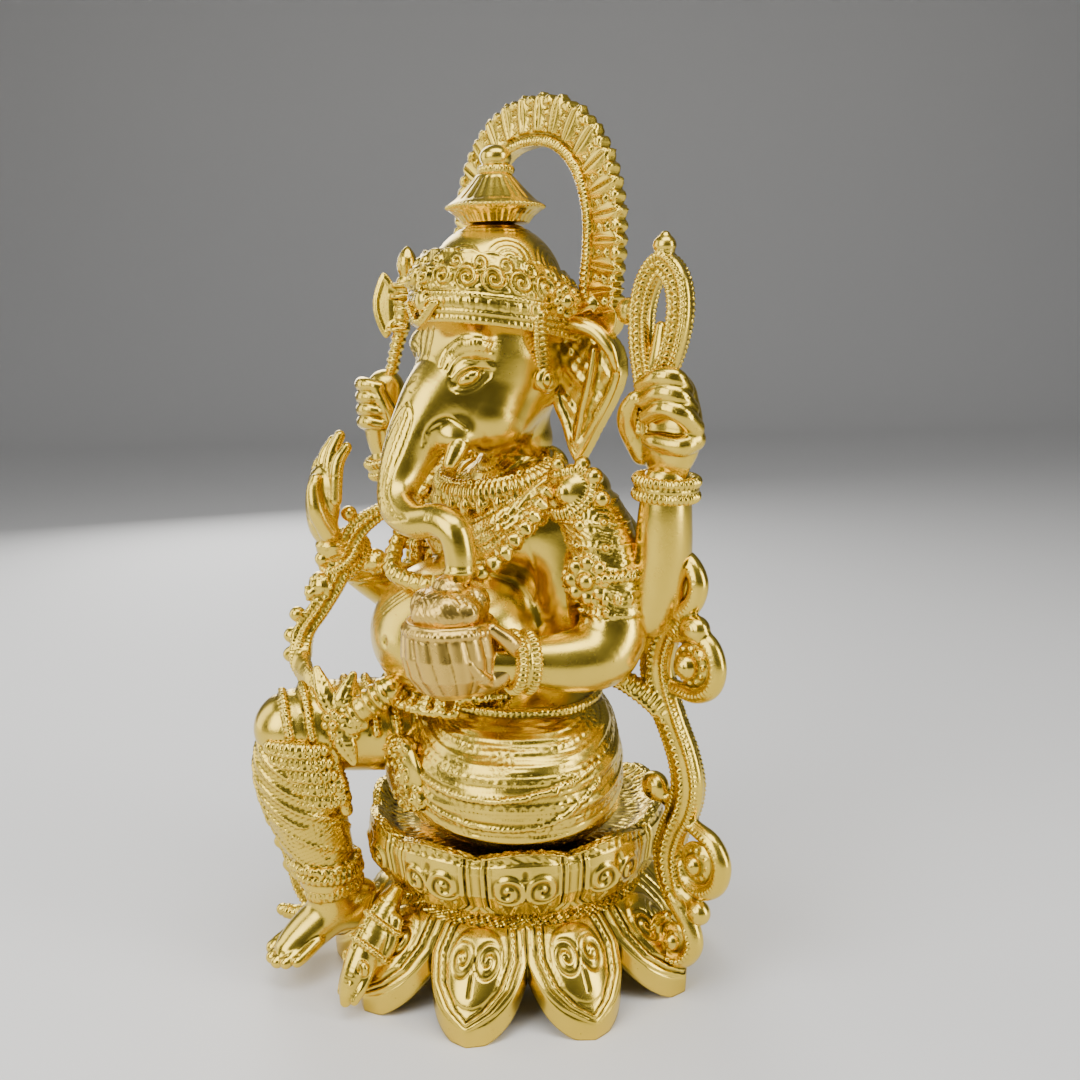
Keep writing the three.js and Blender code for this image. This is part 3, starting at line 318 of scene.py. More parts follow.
    def spiral(self, c, r, turns, width, depth, start=0, hand=1, bead=None):
        """Spiral engraved on the surface round c, from the rim in, with a bead in the middle."""
        p0, n0 = self.onto([c])
        n0 = n0[0]
        u = unit(vec((0, 0, 1)) - n0 * n0[2])
        w = np.cross(u, n0) * hand
        q = np.linspace(0, 1, int(14 * turns) + 6)
        a = math.radians(start) + q * turns * TURN
        rad = r * (1 - 0.86 * q)
        pts = p0[0] + rad[:, None] * (np.cos(a)[:, None] * u + np.sin(a)[:, None] * w)
        self.groove(pts, width, depth, step=0.7)
        if bead:
            self.ball(p0[0] + n0 * bead * 0.25, bead, 0.3)

    def skin_band(self, fn, reach):
        """Adds fn(x, y, z) to the field within that reach of the surface."""
        i = np.nonzero(np.abs(self.d) < reach)
        x, y, z = (self.axes[k][i[k]] for k in range(3))
        self.d[i] += fn(x, y, z).astype(np.float32)

    def plane(self, point, normal):
        """Cuts away what lies beyond the plane."""
        n = unit(normal)
        everywhere = tuple(slice(0, m) for m in self.d.shape)
        x, y, z = self.grid(everywhere)
        p = -((x - point[0]) * n[0] + (y - point[1]) * n[1] + (z - point[2]) * n[2])
        self.merge(everywhere, p.astype(np.float32), 0.3, cut=True)

    def net(self):
        """Surface nets: vertices in millimetres and quads."""
        d = self.d
        d[0], d[-1], d[:, 0], d[:, -1], d[:, :, 0], d[:, :, -1] = (np.float32(1.0),) * 6
        inside = d < 0
        n = np.array(d.shape)
        c = np.zeros(tuple(n - 1), np.uint8)
        for a in (0, 1):
            for b in (0, 1):
                for e in (0, 1):
                    c += inside[a:n[0] - 1 + a, b:n[1] - 1 + b, e:n[2] - 1 + e]
        cells = np.nonzero((c > 0) & (c < 8))
        number = np.full(tuple(n - 1), -1, np.int32)
        number[cells] = np.arange(len(cells[0]))
        base = np.stack(cells, 1)
        total = np.zeros((len(base), 3))
        count = np.zeros(len(base))
        corners = [(a, b, e) for a in (0, 1) for b in (0, 1) for e in (0, 1)]
        val = {q: d[base[:, 0] + q[0], base[:, 1] + q[1], base[:, 2] + q[2]] for q in corners}
        for q in corners:
            for k in range(3):
                if q[k]:
                    continue
                r = tuple(q[j] + (j == k) for j in range(3))
                u, v = val[q], val[r]
                hit = (u < 0) != (v < 0)
                t = u[hit] / (u[hit] - v[hit])
                p = np.tile(np.array(q, float), (hit.sum(), 1))
                p[:, k] += t
                total[hit] += p
                count[hit] += 1
        verts = self.lo + self.h * (base + total / count[:, None])
        quads = []
        for k in range(3):
            i, j = (k + 1) % 3, (k + 2) % 3
            lo = [slice(None)] * 3
            hi = [slice(None)] * 3
            lo[k], hi[k] = slice(0, n[k] - 1), slice(1, n[k])
            cross = inside[tuple(lo)] != inside[tuple(hi)]
            e = np.stack(np.nonzero(cross), 1)
            e = e[(e[:, i] > 0) & (e[:, j] > 0) & (e[:, i] < n[i] - 1) & (e[:, j] < n[j] - 1)]
            flip = inside[e[:, 0], e[:, 1], e[:, 2]]
            ring = []
            for oi, oj in ((-1, -1), (0, -1), (0, 0), (-1, 0)):
                f = e.copy()
                f[:, i] += oi
                f[:, j] += oj
                ring.append(number[f[:, 0], f[:, 1], f[:, 2]])
            q = np.stack(ring, 1)
            q[~flip] = q[~flip][:, ::-1]
            quads.append(q)
        quads = np.vstack(quads)
        return verts, quads[(quads >= 0).all(1)]


def largest(verts, quads):
    """Keeps the biggest connected body."""
    label = np.arange(len(verts))
    while True:
        low = label[quads].min(1)
        new = label.copy()
        for k in range(4):
            np.minimum.at(new, quads[:, k], low)
        new = new[new]
        if (new == label).all():
            break
        label = new
    ids, count = np.unique(label, return_counts=True)
    keep = label == ids[count.argmax()]
    index = np.cumsum(keep) - 1
    q = quads[keep[quads[:, 0]]]
    return verts[keep], index[q]


# ---------------------------------------------------------------- materials
def brass(name, light, deep, dark, rough=0.2):
    """Polished cast brass: dark residue and a soft painted shade in the hollows, small casting pits and a slight
    hand-filed grain.
    """
    m = bpy.data.materials.new(name)
    m.use_nodes = True
    t = m.node_tree
    t.nodes.clear()
    n = t.nodes.new
    link = t.links.new
    out = n("ShaderNodeOutputMaterial")
    bsdf = n("ShaderNodeBsdfPrincipled")
    bsdf.inputs["Metallic"].default_value = 1.0
    link(bsdf.outputs[0], out.inputs[0])
    place = n("ShaderNodeTexCoord")

    def noise(scale, detail, rough_):
        k = n("ShaderNodeTexNoise")
        k.inputs["Scale"].default_value = scale
        k.inputs["Detail"].default_value = detail
        k.inputs["Roughness"].default_value = rough_
        link(place.outputs["Object"], k.inputs["Vector"])
        return k.outputs["Fac"]

    def span(value, a, b, c=0.0, d=1.0):
        k = n("ShaderNodeMapRange")
        k.clamp = True
        for i, v in enumerate((a, b, c, d)):
            k.inputs[i + 1].default_value = v
        link(value, k.inputs[0])
        return k.outputs[0]

    def math_(op, a, b):
        k = n("ShaderNodeMath")
        k.operation = op
        k.use_clamp = op in ("ADD", "MULTIPLY", "SUBTRACT")
        for i, v in enumerate((a, b)):
            if hasattr(v, "default_value"):
                link(v, k.inputs[i])
            else:
                k.inputs[i].default_value = v
        return k.outputs[0]

    def mix(fac, a, b):
        k = n("ShaderNodeMix")
        k.data_type = 'RGBA'
        link(fac, k.inputs[0])
        for i, v in ((6, a), (7, b)):
            if hasattr(v, "default_value"):
                link(v, k.inputs[i])
            else:
                k.inputs[i].default_value = (*v, 1)
        return k.outputs[2]

    hollow = n("ShaderNodeAttribute")
    hollow.attribute_name = "hollow"
    hol = hollow.outputs["Fac"]
    broad = noise(38, 3, 0.6)
    grime = noise(260, 4, 0.65)
    pits = noise(900, 2, 0.5)
    # residue sits in the hollows, broken up by the noise
    deep_fac = math_("MULTIPLY", span(hol, 0.022, 0.13), span(grime, 0.28, 0.58, 0.35, 1.0))
    # painted shade: an even, soft darkening towards the deep tone over every shallow hollow, on top of the
    # residue
    painted_shade_in_hollows = math_("MULTIPLY", span(hol, 0.0, 0.06), 0.75)
    speck = math_("MULTIPLY", span(pits, 0.70, 0.76), span(broad, 0.48, 0.66, 0.0, 0.8))
    stain = span(broad, 0.35, 0.75, 0.0, 0.35)
    tone = mix(stain, light, deep)
    tone = mix(painted_shade_in_hollows, tone, tuple(0.62 * c for c in deep))
    dirty = math_("MAXIMUM", deep_fac, speck)
    tone = mix(dirty, tone, dark)
    link(tone, bsdf.inputs["Base Color"])
    shine = span(noise(75, 4, 0.6), 0.3, 0.75, rough, rough + 0.13)
    shine = math_("ADD", shine, math_("MULTIPLY", dirty, 0.38))
    link(shine, bsdf.inputs["Roughness"])
    bump = n("ShaderNodeBump")
    bump.inputs["Strength"].default_value = 0.22
    bump.inputs["Distance"].default_value = 0.0004
    grain = math_("ADD", math_("MULTIPLY", noise(170, 3, 0.55), 0.75),
        math_("MULTIPLY", noise(1100, 2, 0.5), 0.25))
    link(grain, bump.inputs["Height"])
    link(bump.outputs[0], bsdf.inputs["Normal"])
    return m


def plain_steel(name):
    m = bpy.data.materials.new(name)
    m.use_nodes = True
    t = m.node_tree
    bsdf = t.nodes["Principled BSDF"]
    bsdf.inputs["Metallic"].default_value = 1.0
    place = t.nodes.new("ShaderNodeTexCoord")
    k = t.nodes.new("ShaderNodeTexNoise")
    k.inputs["Scale"].default_value = 400
    k.inputs["Detail"].default_value = 4
    t.links.new(place.outputs["Object"], k.inputs["Vector"])
    ramp = t.nodes.new("ShaderNodeValToRGB")
    ramp.color_ramp.elements[0].color = (0.30, 0.31, 0.32, 1)
    ramp.color_ramp.elements[1].color = (0.62, 0.63, 0.64, 1)
    t.links.new(k.outputs["Fac"], ramp.inputs["Fac"])
    t.links.new(ramp.outputs["Color"], bsdf.inputs["Base Color"])
    rough = t.nodes.new("ShaderNodeMapRange")
    rough.inputs[3].default_value = 0.28
    rough.inputs[4].default_value = 0.5
    t.links.new(k.outputs["Fac"], rough.inputs[0])
    t.links.new(rough.outputs[0], bsdf.inputs["Roughness"])
    return m


MATERIALS = {
    "brass": brass("brass", (0.80, 0.575, 0.075), (0.56, 0.37, 0.032), (0.026, 0.017, 0.005), 0.18),
    "rose": brass("rose_brass", (0.70, 0.46, 0.095), (0.46, 0.28, 0.045), (0.026, 0.016, 0.006), 0.22),
    "steel": plain_steel("bolt_steel"),
}


# ---------------------------------------------------------------- meshes
def neighbours(faces, n):
    """A function that adds up the values at each vertex's neighbours, and how many there are."""
    a = np.concatenate([faces[:, k] for k in range(4)])
    b = np.concatenate([faces[:, (k + 1) % 4] for k in range(4)])
    deg = np.maximum(np.bincount(a, minlength=n) + np.bincount(b, minlength=n), 1)[:, None]

    def around(p):
        return np.stack([np.bincount(a, q[b], n) + np.bincount(b, q[a], n) for q in p.T], 1)
    return around, deg


def curvature(verts, faces):
    """How deep each vertex lies in a crevice, in millimetres: positive in hollows, negative on ridges."""
    around, deg = neighbours(faces, len(verts))
    n = len(verts)
    p = verts.copy()
    for _ in range(3):
        p = 0.5 * p + 0.5 * around(p) / deg
    t1 = verts[faces[:, 2]] - verts[faces[:, 0]]
    t2 = verts[faces[:, 3]] - verts[faces[:, 1]]
    fn = np.cross(t1, t2)
    vn = np.zeros_like(verts)
    for k in range(4):
        for c in range(3):
            vn[:, c] += np.bincount(faces[:, k], fn[:, c], n)
    vn /= np.maximum(np.linalg.norm(vn, axis=1), 1e-9)[:, None]
    c = ((p - verts) * vn).sum(1)[:, None]
    return (around(c) / deg * 0.5 + c * 0.5)[:, 0]


def relax(verts, faces):
    """One step of smoothing and one back, so that the shape doesn't shrink."""
    around, deg = neighbours(faces, len(verts))
    for amount in (0.5, -0.52):
        verts = verts + amount * (around(verts) / deg - verts)
    return verts


def piece(name, verts, faces, nodes, mat="brass"):
    """A finished piece in the row frame, riding on the root body and standing for the CAD nodes."""
    hollow = curvature(verts, faces)
    me = bpy.data.meshes.new(name)
    me.vertices.add(len(verts))
    me.vertices.foreach_set("co", (verts * MM + AXIS).astype(np.float32).ravel())
    me.loops.add(faces.size)
    me.loops.foreach_set("vertex_index", faces.astype(np.int32).ravel())
    me.polygons.add(len(faces))
    me.polygons.foreach_set("loop_start", np.arange(0, faces.size, 4, dtype=np.int32))
    me.polygons.foreach_set("loop_total", np.full(len(faces), 4, np.int32))
    me.polygons.foreach_set("use_smooth", np.ones(len(faces), bool))
    me.update(calc_edges=True)
    me.validate()
    at = me.attributes.new("hollow", 'FLOAT', 'POINT')
    at.data.foreach_set("value", hollow.astype(np.float32))
    obj = bpy.data.objects.new(name, me)
    bpy.context.scene.collection.objects.link(obj)
    me.materials.append(MATERIALS[mat])
    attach(obj, "root")
    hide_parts(*nodes)


def cast(name, clay, nodes=None, mat="brass"):
    """The clay's biggest body as a piece. It stands for the node of its own name unless others are given."""
    verts, faces = largest(*clay.net())
    piece(name, relax(verts, faces), faces, nodes or (name,), mat)


# ---------------------------------------------------------------- head and trunk
def head_base():
    c = Clay((-34, -66, 158), (44, 32, 276), 0.5)
    c.ball((0, -4, 243), (27, 29, 31), 0)
    c.ball((0, -11, 227), (21.5, 23, 19), 8)
    for s in (1, -1):
        c.ball((s * 11, -15, 220), (12.5, 15, 13), 6)
        c.ball((s * 13, -26, 247), (9, 6, 6), 5)
    c.ball((0, 5, 210), (15, 13, 14), 6)
    c.tube([(0, -17, 238, 16), (-1, -29, 227, 14.5), (-3, -37, 216, 12), (-4, -43, 206.5, 9.8),
        (-2.3, -49, 197, 7.6), (3, -52.6, 189.8, 6.9), (13, -52.6, 186, 6.2),
            (23.5, -50.3, 187, 6.0), (30.5, -48.6, 184.2, 5.9), (32.8, -48, 177.5, 5.6), (33, -48, 170,
                5.2)], k=6)
    for s in (1, -1):
        c.ball((s * 10.5, -31, 214), (6.2, 6.5, 6), 4)
    return c


def side_clay(s, across, y, z, h):
    """Clay on one side, with its near and far reach across given as positive numbers."""
    x = sorted((s * across[0], s * across[1]))
    return Clay((x[0], y[0], z[0]), (x[1], y[1], z[1]), h)


def mirror(points, s):
    return [(s * p[0], *p[1:]) for p in points]


def head():
    c = head_base()
    for s in (1, -1):
        def m(points):
            return mirror(points, s)
        # eyeball in its socket, then the lids, the hatched brow and the fold under the eye
        socket = m([(15.7, -29.0, 235.2)])[0]
        c.groove(m([(13.0, -32.6, 233.2), (15.8, -29.0, 234.4), (19.2, -24.8, 236.9)]), 3.6, 0.9, sharp=1.3)
        c.ball(socket, (4.6, 2.6, 2.5), 0.5, turn=(0, s * -28, s * 52))
        rim = [(12.9, -32.9, 233.0), (14.7, -30.6, 236.2), (16.8, -27.7, 237.6), (19.0, -24.9, 237.3)]
        low = [(12.9, -32.9, 233.0), (15.2, -30.5, 232.6), (17.2, -28.0, 233.6), (19.0, -24.9, 237.3)]
        c.groove(m(rim), 0.75, 0.75)
        c.groove(m(low), 0.7, 0.6)
        c.groove(m([(13.9, -31.9, 234.0), (15.6, -29.6, 235.2), (17.2, -27.4, 235.6)]), 0.55, 0.35)
        c.groove(m([(12.3, -33.6, 234.9), (13.7, -31.4, 237.9), (16.1, -28.8, 239.2), (18.7, -25.4, 238.9),
            (21.2, -22.2, 238.6)]), 1.0, -0.55)
        c.groove(m([(11.4, -34.0, 236.2), (12.3, -32.3, 239.7), (15.3, -30.2, 241.9), (18.5, -27.1, 241.2),
            (21.6, -22.3, 240.8)]), 0.8, 0.75)
        c.groove(m([(9.8, -34.4, 238.1), (11.4, -32.7, 241.9), (15.7, -31.0, 244.2), (20.3, -28.0, 244.2),
            (22.4, -22.5, 243.8)]), 0.7, 0.6)
        c.groove(m([(7.9, -35.3, 239.2), (8.4, -33.4, 244.6), (13.9, -32.0, 248.2), (20.6, -28.0, 248.9),
            (23.2, -20.1, 247.4)]), 0.75, 0.7)
        for q in np.linspace(0.06, 0.96, 19):
            a = walk(smooth_line(m([(10.2, -34.4, 239.0), (11.6, -32.7, 243.0), (15.9, -31.0, 245.2),
                (20.5, -28.0, 245.2), (22.6, -22.3, 244.6)]), 0.5), 0.4)[0]
            b = walk(smooth_line(m([(8.3, -35.3, 239.6), (9.3, -33.4, 244.4), (14.3, -32.0, 247.4),
                (20.6, -28.0, 248.0), (23.0, -20.6, 246.6)]), 0.5), 0.4)[0]
            i, j = int(q * (len(a) - 1)), int(min(q + 0.03, 1) * (len(b) - 1))
            c.groove([a[i], b[j]], 0.5, 0.38)
        c.groove(m([(13.3, -33.5, 230.2), (15.2, -30.6, 229.9), (17.9, -27.0, 231.5),
            (20.6, -23.6, 235.4)]), 0.6, 0.4)
        # arc over the tusk's socket
        c.groove(m([(6.4, -43.6, 211.5), (7.4, -42.7, 216.4), (9.5, -39.9, 220.2), (12.6, -35.8, 221.2),
            (17.2, -31.6, 217.4)]), 0.8, 0.75)
        c.groove(m([(7.4, -43.0, 212.4), (8.6, -41.7, 216.6), (10.6, -38.6, 218.7)]), 0.55, 0.45)
        for dz in (0, 2.0, 4.0, 6.2):
            c.groove(m([(7.6, -39.5 - dz * 0.5, 206.8 - dz), (10.2, -37.0 - dz * 0.5, 207.4 - dz),
                (11.2, -33.0 - dz * 0.55, 207.6 - dz)]), 0.6, 0.35)
    for x in (-9.4, -5.2, -1.0):
        c.groove([(x - 0.9, -31.6, 253.0), (x, -33.0, 247.5), (x + 1.4, -34.6, 241.4)], 0.75, 0.6)
        c.groove([(x - 0.1, -31.6, 252.4), (x + 0.8, -33.0, 247.5)], 0.5, 0.3)
    c.spiral((-1.2, -39.5, 233.8), 2.1, 1.4, 0.5, 0.4, start=200)
    c.groove([(-1.5, -41.4, 230.4), (0.4, -41.6, 229.6), (2.2, -41.2, 230.6)], 0.5, 0.4)
    # bordered and hatched strip down the front of the trunk
    right = [(0.6, -45.4, 226.2), (3.0, -45.4, 223.6), (3.6, -46.8, 218.6), (2.4, -49.6, 210.5),
        (1.6, -53.9, 202.3), (3.2, -57.4, 195.8), (9.3, -58.9, 190.0), (15.6, -58.2, 188.2)]
    left = [(0.6, -45.4, 226.2), (-2.6, -44.6, 224.2), (-5.6, -46.4, 218.4), (-8.4, -49.0, 210.5),
        (-8.2, -53.0, 201.5), (-4.4, -56.8, 192.5), (3.0, -59.4, 186.2), (15.6, -58.2, 187.6)]
    c.groove(right, 0.75, 0.62)
    c.groove(left, 0.75, 0.62)
    ra, la = (walk(c.onto(smooth_line(q, 0.6))[0], 0.5)[0] for q in (right, left))
    for q in np.linspace(0.07, 0.94, 46):
        a, b = ra[int(q * (len(ra) - 1))], la[int(q * (len(la) - 1))]
        c.groove([a * 0.9 + b * 0.1, a * 0.66 + b * 0.34], 0.42, 0.34)
        c.groove([a * 0.1 + b * 0.9, a * 0.34 + b * 0.66], 0.42, 0.34)
    for side in (0.30, 0.70):
        k = np.linspace(0.1, 0.9, 30)
        c.groove([ra[int(q * (len(ra) - 1))] * side + la[int(q * (len(la) - 1))] * (1 - side) for q in k],
            0.45, 0.35)
    for q in np.linspace(0.12, 0.82, 15):
        a, b = ra[int(q * (len(ra) - 1))], la[int(q * (len(la) - 1))]
        c.spiral(a * 0.5 + b * 0.5, 1.0, 1.0, 0.42, 0.32, start=90)
    # wrinkles round the lower trunk and the nostril lip at its tip
    for x in (24.5, 26.2):
        c.groove([(x, -50.2 - 5.8, 188), (x, -50.2 - 4.2, 191.6), (x, -49.6, 193.1)], 0.5, 0.25)
    c.ball((33.2, -48.4, 170.4), (5.9, 5.9, 2.0), 1.2)
    c.ball((33.2, -48.4, 167.4), (2.6, 2.6, 2.4), 0.8, cut=True)
    cast("head_and_trunk", c, ("head", "trunk"))


head()


# ---------------------------------------------------------------- shapes given by a formula
def shape(c, fn, lo=None, hi=None):
    """Merges fn(x, y, z), a signed distance, into the clay, inside a box if one is given."""
    win = c.window(lo, hi, 0) if lo is not None else tuple(slice(0, n) for n in c.d.shape)
    c.merge(win, np.asarray(fn(*c.grid(win)), np.float32))


def cell(u, pitch):
    """Distance along from the middle of the nearest repeat."""
    return u - pitch * np.round(u / pitch)


def swirl(u, v, r, pitch, hand=1):
    """Height 0..1 of a spiral ridge about (0, 0)."""
    rho = np.hypot(u, v)
    return np.clip((r - rho) / 0.5, 0, 1) * (0.5 + 0.5 * np.cos(TURN * rho / pitch - hand * np.arctan2(v, u)))


def bump(u, width):
    """Round ridge of height 1."""
    return np.clip(1 - (u / width) ** 2, 0, 1)


def line_field(line, x, z):
    """Arc length, signed distance (positive on the right of travel) and total length for a flat line."""
    best = np.full(np.broadcast(x, z).shape, 1e3)
    arc, off, s0 = np.zeros_like(best), np.zeros_like(best), 0.0
    for (ax, az), (bx, bz) in zip(line[:-1], line[1:]):
        dx, dz = bx - ax, bz - az
        length = math.hypot(dx, dz)
        if length < 1e-6:
            continue
        t = np.clip(((x - ax) * dx + (z - az) * dz) / length ** 2, 0, 1)
        ex, ez = x - ax - t * dx, z - az - t * dz
        d = np.hypot(ex, ez)
        m = d < best
        best = np.where(m, d, best)
        arc = np.where(m, s0 + t * length, arc)
        off = np.where(m, np.where(dz * ex - dx * ez > 0, d, -d), off)
        s0 += length
    return arc, off, s0


def inside_field(outline, x, z):
    """Signed distance to a closed flat outline."""
    p = np.vstack([outline, outline[:1]])
    d = np.full(np.broadcast(x, z).shape, 1e3)
    odd = np.zeros(d.shape, bool)
    for (ax, az), (bx, bz) in zip(p[:-1], p[1:]):
        dx, dz = bx - ax, bz - az
        t = np.clip(((x - ax) * dx + (z - az) * dz) / max(dx * dx + dz * dz, 1e-9), 0, 1)
        d = np.minimum(d, np.hypot(x - ax - t * dx, z - az - t * dz))
        if abs(dz) > 1e-9:
            odd ^= ((az > z) != (bz > z)) & (x < ax + (z - az) * dx / dz)
    return np.where(odd, -d, d)


def lump(x, y, z, scale):
    """Cheap smooth unevenness in -1..1."""
    q = TURN / scale
    broad = np.sin(q * (x + 0.6 * z)) * np.sin(q * (y * 1.1 - 0.5 * x) + 1)
    return (broad + np.sin(q * 1.7 * (z - 0.4 * y) + 2) * np.sin(q * 1.3 * (x + y) + 0.7)) * 0.5


# ---------------------------------------------------------------- crown
def crown():
    c = Clay((-30, -36, 257), (30, 28, 297), 0.5)
    c.ball((0, -3.8, 265), (25.2, 26.8, 26.5), 0)
    c.plane((0, 0, 260), (0, 0, -1))
    for i, az in enumerate((-78, -30, 20, 68, 116, 164, 212)):
        a = math.radians(az)
        c.spiral((24 * math.sin(a), -3.8 - 25 * math.cos(a), 275 + 1.5 * (i % 2)), 10.5, 3.6, 0.62, 0.55,
            start=60 * i, hand=1 if i % 2 else -1)
    for z, r in ((287.4, 14.5), (289.3, 11.8)):
        c.groove([(r * math.sin(a), -3.6 - r * 1.05 * math.cos(a), z) for a in turns(24)], 0.7, 0.5,
            closed=True)
    cast("crown_dome", c)

    c = Clay((-36, -42, 240), (36, 36, 284), 0.5)

    def band(x, y, z):
        xx, yy = x / 0.93, y + 3
        r, q = np.hypot(xx, yy), np.arctan2(xx, -yy)
        v = z - 5.6 * np.cos(q) - 249.4
        a = q * 33.0
        out = np.interp(v, [0, 8, 17, 25], [33.0, 34.0, 32.4, 28.4])
        # notched fringe
        rel = 0.8 * bump(v - 1.4, 1.5) * (0.35 + 0.65 * bump(cell(a, 2.3), 1.0))
        # beaded line
        rel += 0.75 * bump(v - 4.2, 0.9) * (0.45 + 0.55 * bump(cell(a, 1.7), 0.85))
        # panels
        rel += 0.55 * ((v > 5.6) & (v < 9.2)) * bump(cell(a, 4.2),
            1.8) ** 0.4 * (1 - 0.5 * bump(cell(a, 1.05), 0.3))
        rel += 0.8 * bump(v - 10.4, 0.9) * (0.45 + 0.55 * bump(cell(a + 0.9, 1.7), 0.85))
        u = cell(a, 9.9)
        rel += 1.9 * swirl(u - 0.6, v - 16.4, 4.6, 2.9, 1) + 0.5 * bump(np.hypot(u - 0.6, v - 16.4), 5.2)
        u = cell(a + 4.95, 9.9)
        rel += 1.5 * swirl(u, v - 21.6, 3.2, 2.3, -1) + 0.6 * bump(np.hypot(u, v - 13.0), 1.4)
        rel += 0.22 * bump(cell(a + 1.6 * v, 0.95), 0.4) * (v > 12)
        p = np.maximum(r - out - rel * 0.9, np.interp(v, [0, 25], [27.0, 23.0]) - r)
        return np.maximum(p, np.maximum(-v, v - 25 - 1.0 * bump(cell(a, 9.9), 4.9)))
    shape(c, band)
    # pointed pendant over the brow and the row of curls above it
    c.tube([(-8.5, -37.2, 261.5), (0, -38.5, 254.6), (8.5, -37.2, 261.5)], 1.3, 0.4)
    c.beads([(-8.5, -38.0, 262.0), (0, -39.8, 255.2), (8.5, -38.0, 262.0)], 0.95, 1.9, 0.2)
    c.ball((0, -37.6, 262.4), (3.4, 2.0, 3.8), 0.5)
    for a in turns(8):
        c.ball((4.0 * math.sin(a), -37.6, 262.4 + 4.4 * math.cos(a)), 0.95, 0.3)
    cast("crown_band", c)

    c = Clay((-21, -24, 288), (21, 19, 309), 0.42)

    def brim(x, y, z):
        r, q = np.hypot(x, y + 2.6), np.arctan2(x, -(y + 2.6))
        out = np.interp(z, [290.4, 293, 295, 296.3, 297.4, 299, 302.4, 306.4, 307.9],
            [12.4, 14.4, 17.2, 18.1, 17.4, 15.0, 11.6, 7.9, 6.6])
        out = out + 0.65 * bump(z - 296.2, 1.0) * (2 * bump(cell(q * 18, 1.75), 0.9) - 0.6)
        out = out - 0.4 * (z > 298.4) * (z < 306.5) * np.abs(np.cos(11
            * q)) ** 4 - 0.4 * (z < 294.6) * np.abs(np.cos(14 * q)) ** 4
        return np.maximum((r - out) * 0.62, np.maximum(290.4 - z, z - 307.9))
    shape(c, brim)
    cast("crown_brim", c)

    c = Clay((-9, -11, 306.3), (9.5, 7, 320), 0.36)

    def finial(x, y, z):
        r, q = np.hypot(x - 0.2, y + 2), np.arctan2(x - 0.2, -(y + 2))
        out = np.interp(z, [307.2, 308.3, 309.6, 310.8, 311.6, 312.2], [5.2, 6.6, 7.1, 6.6, 4.9, 4.2])
        out = out - 0.55 * bump(z - 309.6, 1.9) * (1 - bump(cell(q * 7, 1.84), 0.85))
        return np.maximum((r - out) * 0.75, np.maximum(307.2 - z, z - 312.4))
    shape(c, finial)
    c.ball((0.2, -2, 314.2), (5.9, 5.9, 4.5), 0.5)
    cast("crown_finial", c)

    for s, side in ((1, "left"), (-1, "right")):
        c = side_clay(s, (23, 42), (-9, 11), (252, 271), 0.42)
        c.ball((s * 31.5, 1.5, 261), (6.0, 5.6, 5.8), 0)
        for a in turns(8):
            c.ball((s * (35.2 - 0.3 * math.cos(a)), 0.6 + 4.4 * math.sin(a), 261 + 4.4 * math.cos(a)), 1.7,
                0.35)
        c.ball((s * 37.0, -0.2, 261), (2.6, 2.9, 2.9), 0.3)
        c.groove([(s * 38.2, -0.2 + 1.6 * math.sin(a), 261 + 1.6 * math.cos(a)) for a in turns(12)], 0.4,
            0.3, closed=True)
        cast("rosette_" + side, c)

        c = side_clay(s, (20, 35), (-16, 8), (226, 260), 0.42)
        c.tube([(s * 29.5, -7, 256), (s * 29, -6.5, 248), (s * 26.5, -3.5, 238.5)], [2.6, 2.7, 2.4], 0.3,
            mod=ribs(0.42, 1.9, 0.6))
        c.tube([(s * 30.5, -9.6, 255), (s * 30, -9.2, 247), (s * 27.6, -6.2, 239)], 1.1, 0.3,
            mod=ribs(0.3, 1.3))
        c.ball((s * 27, -2.4, 233.5), (3.2, 5.2, 5.2), 0.6)
        c.ball((s * 29.6, -3.4, 233.5), (1.8, 2.9, 2.9), 0.3)
        c.groove([(s * 29.6, -3.0 + 3.8 * math.sin(a), 233.5 + 3.8 * math.cos(a)) for a in turns(16)], 0.5,
            0.45, closed=True)
        cast("earring_" + side, c)


# ---------------------------------------------------------------- ears and tusks
EAR = [[17, 244], [22, 250.5], [31, 253.5], [40, 250.5], [46, 243], [46.5, 234], [42.5, 225], [36.5, 215],
    [31.5, 206], [28.5, 202], [25, 207], [22, 216], [18, 226]]


